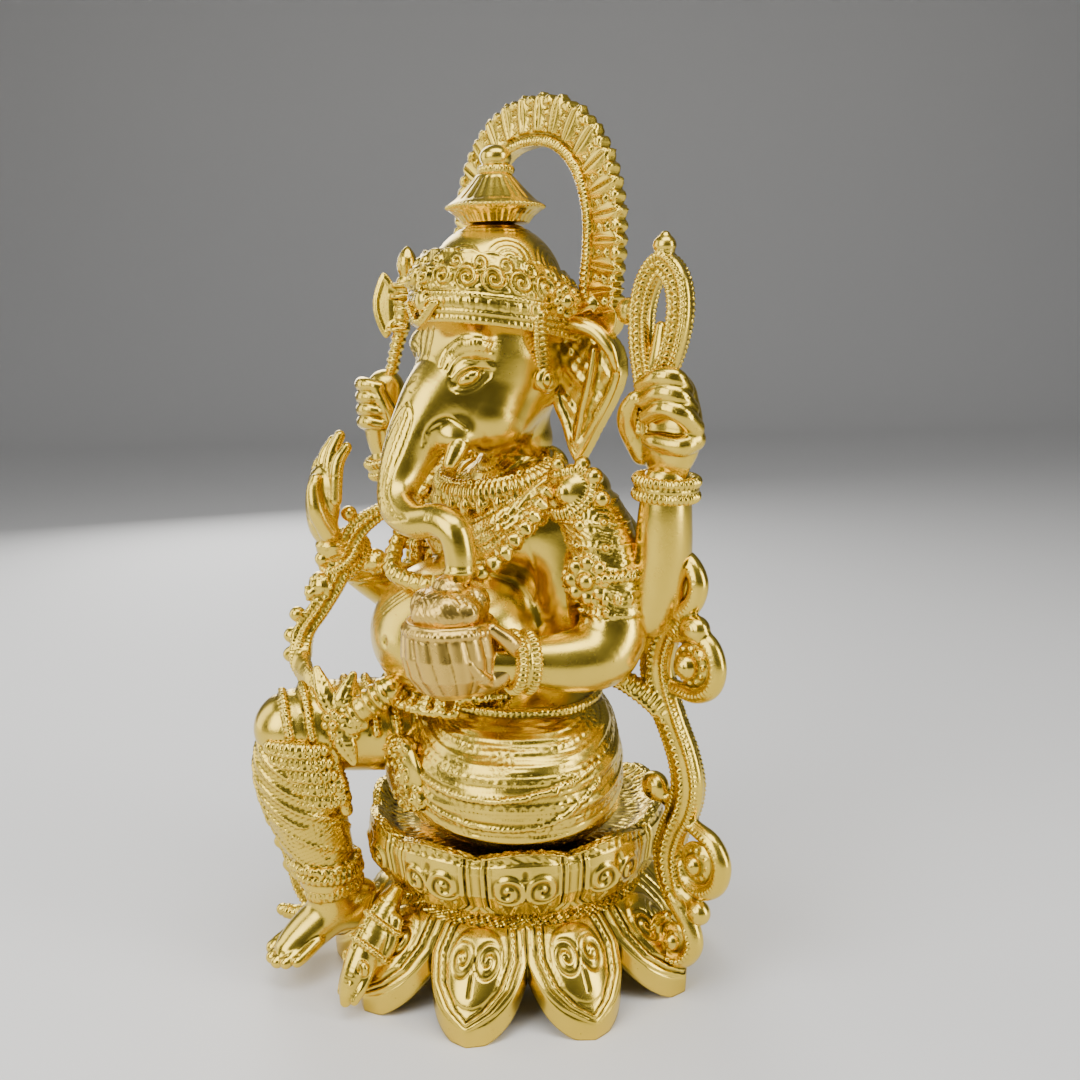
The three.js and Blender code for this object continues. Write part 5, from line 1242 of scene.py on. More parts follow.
def legs():
    c = Clay((-40, -59, 58), (63, 30, 123), 0.72)

    def lap(x, y, z):
        cx, cy, rx, ry = (np.interp(z, LAP[:, 0], LAP[:, k]) for k in (1, 2, 3, 4))
        e = (np.abs((x - cx) / rx) ** 2.2 + np.abs((y - cy) / ry) ** 2.2) ** (1 / 2.2)
        slope = 0.86 - 0.3 * (z < 70) - 0.25 * (z > 108)
        return np.maximum((e - 1) * np.minimum(rx, ry) * slope, np.maximum(59.5 - z, z - 120))
    shape(c, lap)

    def cloth(x, y, z):
        # folds sweep from the middle of the front down and round the thigh
        a = np.arctan2(x - 4, -(y + 8))
        s = z - 84 + 13 * np.sin(a * 0.9 - 0.2) - 5 * a * a
        fold = 0.5 * bump(cell(s, 9.2), 2.0)
        fine = 0.26 * bump(cell(s + 1.2 * np.sin(5 * a), 1.9), 0.55)
        dots = 0.3 * bump(cell(s - 4.6, 9.2), 1.0) * bump(cell(a * 40, 2.6), 0.9)
        on = (z > 63) & (z < 112)
        return np.where(on, -fold - dots + fine, 0)
    c.skin_band(cloth, 1.8)

    waist = 113.5
    cx, cy, rx, ry = (np.interp(waist, LAP[:, 0], LAP[:, k]) for k in (1, 2, 3, 4))
    belt = [(cx + rx * math.sin(a), cy - ry * math.cos(a), waist) for a in np.linspace(0, TURN, 40)]
    c.rope(belt, 1.5, 2.0, 0.35, 0.3)
    for dz, dx in ((0, 0), (-9, 3)):
        line = [(-8 + dx, -54, 99 + dz), (8 + dx, -54, 92 + dz), (26 + dx, -50, 88 + dz),
            (42, -38, 88 + dz), (54, -22, 92 + dz), (59, -8, 98 + dz * 0.8)]
        c.rope(line, 1.15, 1.8, 0.3, 0.35)
    for p, r in (((16, -54, 80), 5.5), ((34, -46, 78), 5.5), ((49, -32, 80), 5.5), ((25, -52, 98), 4.6),
            ((42, -40, 100), 4.6), ((56, -18, 82), 5.0), ((30, -48, 106), 3.8)):
        c.spiral(p, r, 2.2, 0.6, 0.5, start=p[0] * 7)
    cast("lap", c)

    c = Clay((-16, -62, 70), (18, -40, 106), 0.5)
    for q, r in (((0, -53.5, 89), (12, 3.4, 13)), ((-6, -51, 96), (6, 4.6, 5.6)),
            ((3, -54, 89), (5.6, 4.6, 5.6)), ((1, -53, 99.5), (5.2, 4.2, 4.2)),
            ((10, -53, 82), (5.2, 4.6, 5.2)),
                 ((-8, -49, 84), (6, 4.2, 6)), ((0, -50.5, 77.4), (5.6, 4.6, 4.8))):
        c.ball(q, r, 0.8)
    for i, q in enumerate(((-6, -55, 96), (3, -58, 89), (1, -57, 99.5), (10, -57, 82), (-8, -53, 84),
            (0, -55, 77.6))):
        c.spiral(q, 4.4, 2.0, 0.55, 0.7, start=70 * i)
        c.ball((q[0], q[1] - 0.4, q[2]), 1.3, 0.3)
        for a in turns(8):
            p = c.onto([(q[0] + 4.9 * math.sin(a), q[1], q[2] + 4.9 * math.cos(a))])[0][0]
            c.ball(p, 0.95, 0.25)
    cast("lap_ornament", c)

    c = Clay((-64, -96, 76), (4, -2, 123), 0.66)
    c.tube([(-12, -18, 97, 17.6), (-24, -40, 99, 18.2), (-36, -63, 101, 17.6), (-42, -77, 102, 14)], k=0)
    c.ball((-43, -80, 101), (9, 8, 8), 5)
    for i in range(7):
        y = -34 - i * 7.2
        x = -19 - i * 4.0
        c.rope([(x - 17, y + 9, 99), (x - 11, y + 3, 114), (x, y - 3, 118.5), (x + 10, y - 7, 114),
            (x + 16, y - 9, 102)], 1.5, 2.0, 0.35, 0.2)
        c.groove([(x - 18, y + 5.4, 99), (x - 11, y - 0.4, 113), (x, y - 6.4, 117.5),
            (x + 10, y - 10.4, 113), (x + 15, y - 12, 102)], 0.9, 0.6)
    for i in range(5):
        c.spiral((-26 - 4.4 * i, -50 - 7 * i, 118), 3.4, 1.8, 0.5, 0.45, start=80 * i)
    cast("right_thigh", c)

    c = Clay((-62, -95, 37), (-20, -53, 101), 0.56)
    c.tube([(-41.5, -76, 96, 14.4), (-42, -76, 84, 16.2), (-40, -73, 66, 15), (-36.5, -69.5, 50, 12.2),
        (-34.5, -68, 40, 11.8)], k=0)

    def folds(x, y, z):
        a = np.arctan2(x + 40, -(y + 73))
        s = z - 70 + 9 * a + 2.0 * np.sin(2 * a)
        top = 0.85 * bump(cell(s, 6.2), 1.5) * (z > 66)
        low = 0.8 * bump(cell(s, 11.0), 1.2) * (0.45 + 0.55 * bump(cell(a * 14, 2.3),
            1.0)) * (z <= 66) * (z > 46)
        fine = 0.28 * bump(cell(z - 70 - 6 * a, 1.8), 0.5) * (z > 46)
        return -top - low + fine
    c.skin_band(folds, 1.8)
    for z in (43.2, 47.0):
        c.rope(ring((-35.6, -68.8, z), (13.6, 13.4, 0), 24), 1.9, 2.2, 0.4, 0.3, closed=True)
    for p, r in (((-30, -85, 60), 4.2), ((-42, -88, 64), 4.2), ((-26, -75, 66), 4.2), ((-38, -84, 53), 3.4),
            ((-25, -73, 55), 3.4)):
        c.spiral(p, r, 2.0, 0.55, 0.55, start=p[0] * 9)
    cast("right_shin", c)

    c = Clay((-52, -99, 3), (-16, -48, 42), 0.5)
    c.tube([(-29, -57, 31, 5.8), (-33, -64, 27, 8.8), (-36, -73, 21.5, 9.2), (-37.2, -80, 17, 8.4),
        (-36.8, -85.5, 14.4, 6.6)], k=0, up=(0, -0.55, 0.83), flat=1.12)
    c.tube([(-34, -67, 38, 10.4), (-34, -66, 30, 9.6), (-31, -60, 24, 8)], k=4)
    for i, (x, y, z, r) in enumerate(((-45.5, -88.5, 12, 3.4), (-40, -92, 11.5, 2.9),
            (-35.4, -92.6, 11.6, 2.7), (-31.2, -91, 12.2, 2.5), (-27.6, -88, 13, 2.3))):
        c.tube([(x * 0.9 - 3.6, y + 10, z + 4.4), (x, y + 3, z + 1.2), (x, y, z)], [r * 1.05, r, r * 0.95],
            0.8)
        c.groove([(x - 0.62 * r, y - 0.3 * r, z + 0.75 * r), (x - 0.3 * r, y + 0.5, z + r),
            (x + 0.3 * r, y + 0.5, z + r), (x + 0.62 * r, y - 0.3 * r, z + 0.75 * r)], 0.4, 0.35)
    for dz in (0, 3.0):
        c.rope(ring((-34, -68.5, 38.2 - dz), (12, 11.5, -2.5), 24), 1.3, 1.9, 0.3, 0.1, closed=True)
    cast("right_foot", c)

    c = Clay((-41, -99, 73), (-14, -66, 106), 0.5)
    for i in range(5):
        line = [(-35.5 + i * 0.4, -89.4 + i * 1.6, 98.6 - i * 5.2),
            (-27 + i * 0.6, -83.4 + i * 1.6, 98 - i * 5.2), (-22 + i * 0.4, -74.6 + i * 1.5, 97 - i * 5.2)]
        c.tube(line, [2.6, 3.3, 2.3], 0.9, mod=ribs(0.34, 1.9))
        c.beads([(p[0] + 1.4, p[1] - 2.6, p[2] - 1.5) for p in line], 0.9, 2.0, 0.2)
    cast("knee_pleats", c)


# ---------------------------------------------------------------- pedestal
def skin_mesh(rings):
    """Closed loop of rings, each ring closed: a torus-like body whose faces look outwards."""
    m, n = rings.shape[:2]
    verts = rings.reshape(-1, 3)
    i, j = np.meshgrid(np.arange(m), np.arange(n), indexing="ij")
    a, b = i * n + j, i * n + (j + 1) % n
    d, e = ((i + 1) % m) * n + j, ((i + 1) % m) * n + (j + 1) % n
    faces = np.stack([a, b, e, d], -1).reshape(-1, 4)
    p, q, r, s = (verts[faces[:, k]] for k in range(4))
    inward = np.einsum("ij,ij->i", p, np.cross(q, r) + np.cross(r, s)).sum() < 0
    return verts, faces[:, ::-1] if inward else faces


def profile_grid(rows, relief, steps):
    """Rings through rows that are functions of azimuth: their points, normals and relief heights."""
    az = turns(GRID_COUNT)
    ctrl = np.stack([np.stack(row(az), -1) for row in rows])  # rows, azimuth, (r, z)
    closed = np.concatenate([ctrl, ctrl[:1]])
    out, param = [], []
    for i, n in enumerate(steps):
        t = np.linspace(0, 1, n, endpoint=False)[:, None, None]
        out.append(closed[i] * (1 - t) + closed[i + 1] * t)
        param += [i + q for q in t[:, 0, 0]]
    rz = np.concatenate(out)
    s = np.array(param)[:, None]
    p = np.stack([rz[..., 0] * np.sin(az), -rz[..., 0] * np.cos(az), rz[..., 1]], -1)
    du = np.roll(p, -1, 1) - np.roll(p, 1, 1)
    dv = np.roll(p, -1, 0) - np.roll(p, 1, 0)
    n = np.cross(dv, du)
    for _ in range(2):
        n = n / np.maximum(np.linalg.norm(n, axis=-1, keepdims=True), 1e-9)
        n = n + 0.5 * (np.roll(n, 1, 0) + np.roll(n, -1, 0)) + 0.5 * (np.roll(n, 1, 1) + np.roll(n, -1, 1))
    n = n / np.maximum(np.linalg.norm(n, axis=-1, keepdims=True), 1e-9)
    return p, n, relief(az[None, :], s, rz)


PETALS = 10
PITCH = TURN / PETALS
ROOT_R, VALLEY_R, TIP_R = 46, 59, 76  # skirt radii: petal roots, valleys between petals, petal tips
GRID_COUNT = 600  # steps round the pedestal
FLOOR_Z = 0.02
BORE_R, JOINT_Z, WALL = 37, 35, 4.6  # opening at the top, its height and the wall below it
JUNCTION_R = 50.5  # rough metal inside this, round the foot of the seat


def lotus_skirt():
    def rim(az):
        t = np.abs(((az / PITCH + 0.5) % 1) - 0.5) * 2
        return VALLEY_R + (TIP_R - VALLEY_R) * (1 - 0.46 * t - 0.54 * t ** 3.4), t

    def height(r, t):
        q = np.clip((r - ROOT_R) / (TIP_R - ROOT_R), 0, None)
        return 36 - 1.5 * t - 30.5 * q ** 1.35

    along = [0, 0.3, 0.6, 0.85, 1]

    def outer(q):
        def row(az):
            R, t = rim(az)
            r = ROOT_R + (R - ROOT_R) * q
            return r, np.maximum(height(r, t * q), 5.2)
        return row

    def foot(back):
        def row(az):
            R, t = rim(az)
            return R - back, np.maximum(height(R, t) - 8.2, FLOOR_Z)
        return row

    def inner(q):
        def row(az):
            R, t = rim(az)
            r = ROOT_R + (R - ROOT_R) * q
            return r - 3, height(r, t * q) - 5.4
        return row

    def flat(r, z):
        return lambda az: (np.full_like(az, r), np.full_like(az, z))

    rows = [flat(BORE_R, JOINT_Z), flat(ROOT_R, JOINT_Z)]
    rows += [outer(q) for q in along]
    rows += [foot(0.4), foot(4.5)]
    rows += [inner(q) for q in along[3::-1]] + [flat(BORE_R, JOINT_Z - WALL)]
    steps = [3, 2, 26, 26, 22, 14, 6, 3, 4, 4, 4, 3, 3, 3]
    first, last = 1.5, 6.0  # rows that carry the relief

    def relief(az, s, rz):
        t = ((az / PITCH + 0.5) % 1 - 0.5) * 2  # -1..1 across a petal
        q = np.interp(s, [2, 3, 4, 5, 6], along)
        R, _ = rim(az)
        top = (s >= first) & (s <= last)
        r = ROOT_R + (R - ROOT_R) * q
        u = t * PITCH / 2 * r  # from the petal's middle line
        share = np.interp(r, [ROOT_R, VALLEY_R, 66, 71, 74, TIP_R], [1.0, 1.0, 0.80, 0.50, 0.22, 0.0])
        half = share * PITCH / 2 * r  # half width of the petal here
        gap = half - np.abs(u)
        f = 1.15 * np.clip(gap / 3.0, 0, 1) ** 0.6
        beading = 0.5 + 0.5 * bump(cell(r, 1.8), 0.8)
        f = f - 0.75 * bump(gap - 3.3, 0.7) + 0.55 * bump(gap - 4.9, 0.8) * beading - 0.65 * bump(gap - 6.5, 0.6)
        leaf = bump(np.hypot(u / 10.0, (r - 61.0) / 10.0), 1.0) ** 0.5
        f = f + 1.9 * leaf
        for sign in (1, -1):
            f = f - 0.85 * swirl((u - sign * 4.7) * sign, r - 60.0, 5.0, 3.1) * (leaf > 0)
        f = f - 0.7 * bump(u, 0.55) * (r > 63) * (r < 69)
        z = rz[..., 1]
        junction = 0.7 + 0.7 * lump(az * 47, r, z, 3.6) + 0.4 * lump(az * 47 + 3, r, z, 1.9)
        f = np.where(r < JUNCTION_R, junction, f)
        return np.where(top, f * np.clip((s - first) * 2, 0, 1) * np.clip((last - s) * 4, 0.25, 1), 0.0)
    p, n, f = profile_grid(rows, relief, steps)
    verts = p + n * f[..., None]
    verts[..., 2] = np.maximum(verts[..., 2], FLOOR_Z)
    piece("lotus_skirt", *skin_mesh(verts), ("lotus_skirt",))


def lotus_seat():
    def lobe(az):
        return np.abs(np.cos(PETALS / 2 * (az - PITCH / 2)))

    def seat_row(r, z, k, lift):
        def row(az):
            w = lobe(az)
            return r * (1 - k * (1 - w ** 0.7)), z + lift * (w - 0.5) * 1.6
        return row
    table = [[38, 35.4, 0, 0], [46.5, 35.4, 0, 0], [55.5, 41, 0.05, 0], [60.5, 49, 0.06, 0],
        [61.5, 58, 0.05, 0], [60.3, 65, 0.045, 2.6], [56.6, 65.6, 0.045, 2.2], [50, 61, 0.02, 0],
             [38, 59, 0, 0], [4.6, 59, 0, 0], [4.6, 54.4, 0, 0], [38, 54.4, 0, 0], [49, 55, 0, 0], [55,
                 52.5, 0.05, 0], [50.5, 44.6, 0.03, 0], [38, 40, 0, 0]]
    steps = [3, 16, 18, 18, 16, 10, 10, 8, 12, 3, 4, 3, 3, 3, 3, 3]

    def seat_relief(az, s, rz):
        t = (((az - PITCH / 2) / PITCH + 0.5) % 1 - 0.5) * 2
        r, z = rz[..., 0], rz[..., 1]
        u = t * PITCH / 2 * 60
        q = np.interp(s, [1, 2, 3, 4, 5], [0, 8.0, 17.5, 26.5, 33.5])  # millimetres up the outside
        side = (s >= 1) & (s <= 5.2)  # the outside, then rim and dish
        half = 18.8 * np.clip(q / 11.0, 0, 1) ** 0.5
        gap = half - np.abs(u)
        f = 1.3 * np.clip(gap / 3.0, 0, 1) ** 0.7 - 0.5
        f = f - 0.8 * bump(gap - 2.6, 0.6) + 0.5 * bump(gap - 3.9, 0.7) - 0.6 * bump(gap - 5.2, 0.5)
        inner = np.clip(12.6 - np.abs(u), 0, 1)
        for sign in (1, -1):
            f = f - 1.05 * swirl((u - sign * 6.6) * sign, q - 20.5, 7.0, 4.0) * inner
            f = f - 0.8 * bump(np.abs(u - sign * 6.8) - 0.35 * (q - 4), 0.7) * (q > 5) * (q < 13)
        f = f + 0.9 * bump(np.hypot(u, q - 27), 2.0)
        f = f + np.where(q > 30.0, 0.35 * lump(az * 60, q, z, 5.0) + 0.5, 0)
        f = np.where(side, f, 0)
        rimtop = (s > 5.0) & (s < 7.6)
        f = np.where(rimtop, 0.45 * lump(az * 60, s * 8, z, 6.0) + 0.3 * lump(az * 60, s * 8, z, 3.1) + 0.3,
            f)
        dish = (s >= 7.6) & (s < 8.8)
        return np.where(dish, 0.3 * lump(az * 45, r, z, 4.0), f) * np.clip((s - 1) * 4, 0, 1)
    p, n, f = profile_grid([seat_row(*row) for row in table], seat_relief, steps)
    piece("lotus_seat", *skin_mesh(p + n * f[..., None]), ("lotus_seat",))


def mouse():
    c = Clay((-12, -88, 3), (11, -50, 46), 0.42)
    c.tube([(-3.5, -57.5, 40.5, 3.4), (-3, -62, 36, 5.2), (-2, -69, 27.5, 7.2), (-1, -76, 18.5, 6.4),
        (-0.5, -80.5, 11.5, 4.6), (0, -83.4, 7.2, 2.2)], k=0, up=(0, -0.7, 0.7), flat=1.05)
    for s in (1, -1):
        c.ball((s * 5.4 - 0.7, -78, 20.4), (2.9, 1.8, 3.2), 0.6)
        c.ball((s * 5.6 - 0.7, -79.4, 20.6), (1.6, 1.0, 1.9), 0.3, cut=True)
        c.ball((s * 3.0 - 0.4, -82.4, 14.6), 1.15, 0.2)
        c.tube([(s * 5 - 2, -73, 20), (s * 6 - 1.2, -78.5, 13.5), (s * 4.6 - 0.6, -82, 8.4)],
            [2.6, 2.0, 1.6], 0.8)
        c.tube([(s * 6 - 3, -62, 33), (s * 7.4 - 2.6, -66, 25), (s * 6.6 - 2.4, -70.5, 20)],
            [3.0, 2.6, 2.0], 1.0)
        for q in (0, 1.2, 2.4):
            c.groove([(s * 1.4, -83.6 + q * 0.6, 8.6 + q), (s * 3.4, -82 + q * 0.6, 9.4 + q)], 0.35, 0.3)
    c.rope(ring((-1.6, -72, 24), (7.6, 4.8, 5.2), 20), 1.1, 1.7, 0.3, 0.2, closed=True)
    c.rope(ring((-2.4, -65.6, 31.6), (8, 5, 5.6), 20), 0.9, 1.6, 0.28, 0.2, closed=True)
    c.beads([(-1.4, -78.5, 26), (-2, -73, 33), (-2.8, -66.5, 39)], 0.9, 2.0, 0.2)
    for a in ((-1.8, -72, 30), (-2.6, -64, 40)):
        c.groove([(a[0] - 3, a[1], a[2]), (a[0], a[1] - 1.5, a[2] + 2), (a[0] + 3, a[1], a[2])], 0.5, 0.4)
    cast("mouse", c)


# ---------------------------------------------------------------- side scrolls
def strip(c, line, radii, flat=1.55, face=(0, -1, 0)):
    """Flat cast strip with a roped edge on both sides and a row of beads down the middle."""
    pts = np.column_stack([vec(line), np.broadcast_to(vec(radii), (len(line),))])
    fine = smooth_line(pts, 1.0)
    c.tube(pts, k=0, up=face, flat=flat)
    d = np.gradient(fine[:, :3], axis=0)
    n = np.cross(d, vec(face))
    n /= np.maximum(np.linalg.norm(n, axis=1), 1e-6)[:, None]
    thick = fine[:, 3:4] / flat
    for sign in (1, -1):
        for f in (1, -1):
            c.rope(fine[:, :3] + sign * n * fine[:, 3:4] * 0.72 + f * vec(face) * thick * 0.62, 1.15, 1.7,
                0.3, 0.15, project=False)
    for f in (1, -1):
        mid = fine[3:-2]
        c.beads(mid[:, :3] + f * vec(face) * (mid[:, 3:4] / flat + 0.15), 1.15, 2.7, 0.1, project=False)


def curl(c, line, radii, boss, boss_r, disc_r):
    """C-curl with a round boss in it, on both faces."""
    up = (0, -1, 0)
    c.tube(line, radii, 0.8)
    fine = smooth_line(line, 1.0)
    c.rope(fine + vec(up) * np.interp(np.linspace(0, 1, len(fine)), np.linspace(0, 1, len(radii)), radii)[:,
        None] * 0.75, 1.1, 1.7, 0.3, 0.2, project=False)
    boss = vec(boss)
    c.ball(boss, (disc_r, 2.4, disc_r), 0.6)
    for f in (1, -1):
        at = boss + f * vec(up) * 2.4
        c.ball(at, boss_r, 0.3)
        c.groove([tuple(at + vec(up) * f * boss_r * 0.8 + boss_r
            * 0.55 * vec((math.sin(a), 0, math.cos(a)))) for a in turns(14)], 0.5, 0.45, closed=True)
        for a in turns(12):
            c.ball(boss + f * vec(up) * 1.5 + (boss_r + 1.5) * vec((math.sin(a), 0, math.cos(a))), 0.85, 0.2)


def scrolls():
    Y = 20

    def flat(pts):
        return [(x, Y, z) for x, z in pts]
    c = Clay((44, -1, 8), (99, 27, 177), 0.56)
    strip(c, flat([[75, 153], [69, 147], [63.4, 139], [61, 129], [63.4, 118], [69, 107], [74, 97],
        [76.4, 87], [74.5, 77], [69.6, 67], [66.6, 57], [67.6, 47], [71.5, 38.5]]),
          [3.6, 5, 6.4, 7, 6.8, 6.2, 6.4, 6.6, 6.4, 6, 6, 5.6, 4.6])
    c.tube(flat([[71.5, 38.5], [77.5, 31], [79.5, 23.5], [75, 16.5], [68, 14.6], [61.6, 18.5], [61, 26],
        [66, 30.5]]), [4.4, 3.8, 3.5, 3.3, 3.2, 3.1, 2.8, 2.2], 1.0)
    c.beads(flat([[77.5, 31], [79.5, 23.5], [75, 16.5], [68, 14.6], [61.6, 18.5], [61, 26]])
        - np.array((0, 3.4, 0)), 1.1, 2.4, 0.2, project=False)
    curl(c, flat([[73, 150], [79, 155.5], [81, 163], [76.5, 169.4], [69, 171], [61.5, 168], [58.6, 161],
        [61.5, 154.6], [66.5, 152.8]]), [3.6] * 5 + [3.4, 3.2, 2.8, 2.2], (69.5, Y, 161.5), 4.6, 8.6)
    curl(c, flat([[71, 142], [79, 144], [86.5, 141], [90, 133.5], [87.5, 125.6], [80, 121.5], [70, 122]]),
        [3, 3.2, 3.4, 3.4, 3.4, 3.2, 3], (78, Y, 132.3), 5.0, 8.2)
    curl(c, flat([[73, 74], [80, 70.6], [88, 67.6], [92.6, 60.5], [90.6, 52], [83.4, 47], [76, 49],
        [73.6, 55]]), [2.6, 3, 3.4, 3.6, 3.6, 3.4, 3, 2.4], (81.5, Y, 57.5), 3.8, 8.2)
    c.ball((70.4, Y, 23), (6.8, 2.2, 6.8), 0.8)
    for f in (1, -1):
        c.ball((70.4, Y + f * 2.0, 22.6), 3.6, 0.3)
    for q, r in (((80.4, 19, 146), (6.0, 4.8, 5.2)), ((60.6, 19, 81.5), (6.0, 4.4, 5.8)),
            ((82.5, 19, 38.6), (4.8, 4.2, 4.8))):
        c.ball(q, r, 1.0)
        c.spiral((q[0], q[1] - r[1], q[2]), r[0] * 0.7, 1.5, 0.5, 0.5)
        c.spiral((q[0], q[1] + r[1], q[2]), r[0] * 0.7, 1.5, 0.5, 0.5)
    c.tube(flat([[62, 80], [70, 76]]), 3.0, 1.2)
    c.tube(flat([[72, 44], [80, 40]]), 3.0, 1.2)
    c.tube([(50, 4, 126.5, 3.8), (55, 9, 123.5, 4.0), (60, 14.5, 118, 4.1), (65.5, 19, 112, 4.2)], k=1.6,
        mod=ribs(0.36, 2.4))
    c.beads([(51, 1.2, 126.4), (56, 6.0, 122.6), (61, 11.4, 117), (65, 15.4, 112)], 1.2, 2.6, 0.3)
    cast("scroll_left", c)

    c = Clay((-71, -84, 66), (0, -24, 188), 0.56)
    face = vec((0.64, -0.77, 0))
    strip(c, [(-42, -29, 182.5), (-48.5, -38, 175), (-52, -43, 165), (-54, -47, 154), (-57, -53, 143),
        (-59.5, -59.5, 133.5), (-55.5, -64, 124.5), (-46, -67.5, 121), (-35, -69.5, 119), (-26, -69, 112)],
          [2.6, 4.4, 4.8, 4.8, 4.3, 4.3, 4.4, 4, 3.6, 3], flat=1.45, face=(0.77, -0.64, 0))
    for x, y, z, r in ((-49.6, -42, 180.6, 3.2), (-54.6, -47.4, 170.5, 3.4), (-56.6, -50.6, 162.5, 3.5),
            (-58.6, -55.6, 149, 3.0), (-61.6, -61, 140.5, 3.2), (-62.8, -63.4, 132, 3.3),
            (-60, -65.6, 125, 3.3)):
        c.ball((x, y, z), r, 0.8)
        c.ball((x - 0.8, y - 1.4, z), r * 0.55, 0.4)
    for q, r in (((-58, -51.5, 151.5), (6.2, 4.8, 5.8)), ((-46, -33, 160.5), (5.8, 4.8, 5.2))):
        c.ball(q, r, 1.0)
        c.spiral((q[0] + 3, q[1] - 4, q[2]), r[0] * 0.8, 1.7, 0.5, 0.55)
        for a in turns(8):
            p = c.onto([vec(q) + face * 3.5 + 5.4 * (math.cos(a)
                * vec((0, 0, 1)) + math.sin(a) * np.cross(face, (0, 0, 1)))])[0][0]
            c.ball(p, 1.0, 0.3)
    c.tube([(-52, -41, 160), (-46, -34, 159)], 3.0, 1.2)
    hub = vec((-22, -68, 107))
    ends = [((-31, -70.5, 126), 4), ((-20.5, -61, 124), 4), ((-13.5, -61.5, 106), 4.6),
        ((-32, -77, 101), 4.6), ((-16, -65.5, 92), 4.6), ((-24.5, -70.5, 88), 4.6)]
    for end, r in ends:
        end = vec(end)
        mid = (hub + end) / 2 + vec((0.6, -0.8, 0)) * 1.2
        c.tube([hub, mid, end], [2.4, r, r * 0.42], 0.9, up=(0.77, -0.64, 0), flat=1.7)
        top = mid + face * (r / 1.7)
        c.groove([hub + face * 4, top, end + face * 1.2], 0.7, 0.65)
        w = unit(np.cross(end - hub, face))
        for sgn in (1, -1):
            for q in (0.35, 0.5, 0.65, 0.8):
                a = hub * (1 - q) + end * q + face * r / 1.9
                c.groove([a, a + w * sgn * r * 0.75 + (end - hub) * 0.08], 0.45, 0.45)
    c.ball(hub, (5, 5, 5), 0.8)
    for a in turns(7):
        c.ball(hub + face * 3.0 + 3.9 * (math.cos(a) * vec((0, 0, 1))
            + math.sin(a) * np.cross(face, (0, 0, 1))), 1.7, 0.35)
    c.ball(hub + face * 5.0, 2.0, 0.3)
    c.tube([(-24, -70, 90, 3.4), (-22, -68.5, 80, 3.9), (-21, -66.5, 71, 2.2)], k=0.8, mod=ribs(0.3, 1.8))
    c.tube([(-21, -66, 107, 3.4), (-14, -60, 113, 5.2), (-8, -53, 119.5, 5.8)], k=1.0, mod=ribs(0.5, 3.4))
    cast("vine_right", c)

    c = Clay((-84, -81, 3), (-42, -42, 104), 0.56)
    strip(c, [(-58, -58, 94), (-66.5, -64, 84), (-71, -68.5, 72), (-71.5, -69, 60), (-70, -67.5, 47),
        (-68.5, -65, 34), (-67, -63, 22), (-63, -60, 13), (-60.5, -64, 9)],
          [3.6, 4.6, 4.8, 4.6, 4.4, 4.2, 4, 4.2, 3.2], flat=1.35, face=(0.77, -0.64, 0))
    for x, y, z, r in ((-72.9, -71, 80, 3.1), (-75, -73.6, 70.5, 3.4), (-75.4, -73.6, 61.5, 3.3),
            (-73.8, -71.4, 52, 3.3), (-71.9, -69, 42, 3.3), (-69.5, -67, 32, 3.3)):
        c.ball((x, y, z), r, 0.8)
        c.ball((x - 0.7, y - 1.6, z), r * 0.5, 0.4)
    c.tube([(-61, -61, 12, 3.4), (-67, -67, 10.6, 3.4), (-71.5, -71.2, 12, 2.6)], k=0.8, mod=ribs(0.3, 1.8))
    c.tube([(-64.5, -61, 20, 3.2), (-56, -54, 16.5, 3.0), (-47, -47.5, 15, 2.8)], k=0.8)
    c.tube([(-60, -59, 95, 3.4), (-53, -60, 97, 3.5), (-47, -62, 99, 3.5)], k=0.8, mod=ribs(0.3, 1.8))
    cast("scroll_right", c)


legs()
lotus_skirt()
lotus_seat()
mouse()
scrolls()


# ---------------------------------------------------------------- floor, light and camera
CAMERA_AZIMUTH = 50  # degrees round to the figure's left


def stage():
    bpy.ops.mesh.primitive_grid_add(x_subdivisions=2, y_subdivisions=2, size=1)
    floor = bpy.context.object
    floor.name = "floor"
    me = floor.data
    rows = []
    depth = [(-3.0, 0.0), (2.2, 0.0)]
    depth += [(2.2 + 0.9 * math.sin(a), 0.9 - 0.9 * math.cos(a)) for a in np.linspace(0.1, math.pi / 2, 10)]
    depth += [(3.1, 4.0)]
    for y, z in depth:
        rows += [(-5.0, y, z), (5.0, y, z)]
    faces = [(2 * i, 2 * i + 1, 2 * i + 3, 2 * i + 2) for i in range(len(depth) - 1)]
    me.clear_geometry()
    me.from_pydata(rows, [], faces)
    me.polygons.foreach_set("use_smooth", [True] * len(faces))
    floor.rotation_euler[2] = math.radians(CAMERA_AZIMUTH)
    m = bpy.data.materials.new("floor")
    m.use_nodes = True
    bsdf = m.node_tree.nodes["Principled BSDF"]
    bsdf.inputs["Base Color"].default_value = (0.80, 0.79, 0.77, 1)
    bsdf.inputs["Roughness"].default_value = 0.7
    me.materials.append(m)


def softbox(name, azimuth, height, distance, size, power):
    """Area light on a circle round the statue; azimuth 0 is in front, positive towards its left hand."""
    middle = (0, 0, 0.16)
    a = math.radians(azimuth)
    data = bpy.data.lights.new(name, 'AREA')
    data.shape = 'RECTANGLE'
    data.size, data.size_y = size
    data.energy = power
    obj = bpy.data.objects.new(name, data)
    p = np.array([distance * math.sin(a), -distance * math.cos(a), height]) + AXIS
    z = unit(p - (vec(middle) + AXIS))
    x = unit(np.cross((0, 0, 1), z))
    y = np.cross(z, x)
    obj.matrix_world = Matrix([[*row, q] for row, q in zip(np.stack([x, y, z], 1), p)] + [[0, 0, 0, 1]])
    bpy.context.scene.collection.objects.link(obj)


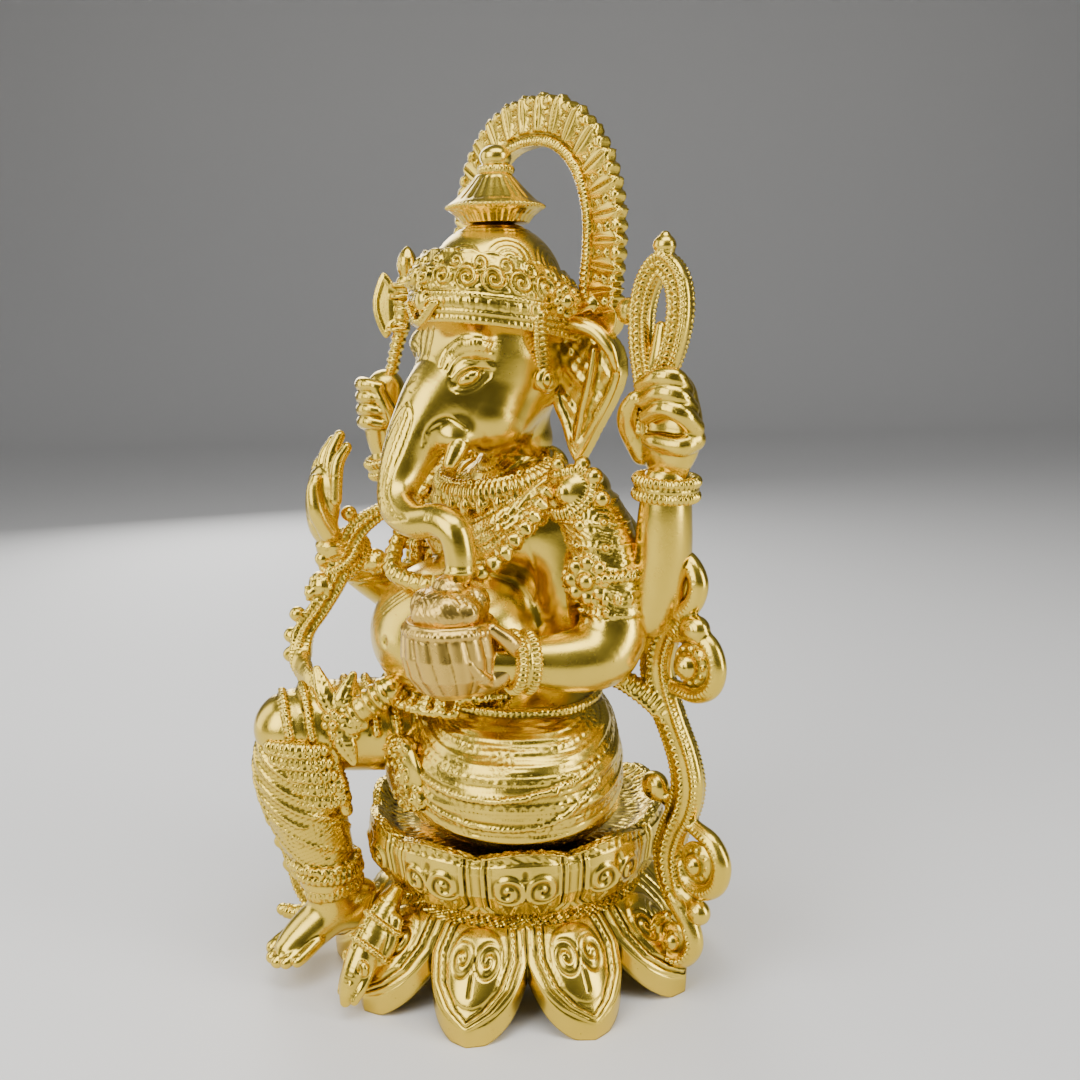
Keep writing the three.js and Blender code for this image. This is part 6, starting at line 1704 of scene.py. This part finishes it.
def world():
    w = bpy.data.worlds.new("studio")
    bpy.context.scene.world = w
    w.use_nodes = True
    t = w.node_tree
    bg = t.nodes["Background"]
    place = t.nodes.new("ShaderNodeTexCoord")
    split = t.nodes.new("ShaderNodeSeparateXYZ")
    ramp = t.nodes.new("ShaderNodeValToRGB")
    span = t.nodes.new("ShaderNodeMapRange")
    span.inputs[1].default_value = -1.0
    t.links.new(place.outputs["Generated"], split.inputs[0])
    t.links.new(split.outputs[2], span.inputs[0])
    t.links.new(span.outputs[0], ramp.inputs["Fac"])
    stops = ramp.color_ramp
    stops.elements[0].position, stops.elements[0].color = 0.45, (0.20, 0.19, 0.18, 1)
    stops.elements[1].position, stops.elements[1].color = 1.0, (0.75, 0.77, 0.80, 1)
    mid = stops.elements.new(0.60)
    mid.color = (0.24, 0.24, 0.25, 1)
    t.links.new(ramp.outputs["Color"], bg.inputs["Color"])
    bg.inputs["Strength"].default_value = 0.32


def camera():
    """Round to the figure's left, pitched down a little and rolled a touch."""
    az, dist, high, pan = math.radians(CAMERA_AZIMUTH), 0.451, 0.253, 0.012
    pitch, roll = math.radians(10.4), math.radians(-1.2)
    back = np.array([math.sin(az), -math.cos(az), 0])
    right = np.array([math.cos(az), math.sin(az), 0])
    ahead = -back * math.cos(pitch) - np.array([0, 0, math.sin(pitch)])
    down = np.cross(ahead, right)
    x = math.cos(roll) * right - math.sin(roll) * down
    y = -(math.sin(roll) * right + math.cos(roll) * down)
    at = back * dist + right * pan + np.array([0, 0, high]) + AXIS
    data = bpy.data.cameras.new("camera")
    data.lens, data.sensor_width = 39.0, 36.0
    data.clip_start = 0.01
    obj = bpy.data.objects.new("camera", data)
    obj.matrix_world = Matrix([[*row, q] for row, q in zip(np.stack([x, y, -ahead], 1), at)] + [[0, 0, 0, 1]])
    bpy.context.scene.collection.objects.link(obj)
    bpy.context.scene.camera = obj


stage()
world()
softbox("key", 5, 0.62, 1.0, (0.7, 0.9), 9.5)
softbox("top", 60, 1.05, 0.35, (0.9, 0.5), 8)
softbox("right", 112, 0.42, 1.1, (0.35, 1.0), 9)
softbox("front_right", -52, 0.42, 1.0, (0.55, 1.0), 4.5)
softbox("rim", -110, 0.6, 1.0, (0.4, 0.9), 7)
camera()

for name, obj in frame["nodes"].items():
    kind = "steel" if name in ("seat_bolt", "seat_washer") else "rose" if name in ("bowl", "sweets",
        "hand_lf") else "brass"
    for s in obj.material_slots:
        s.material = MATERIALS[kind]
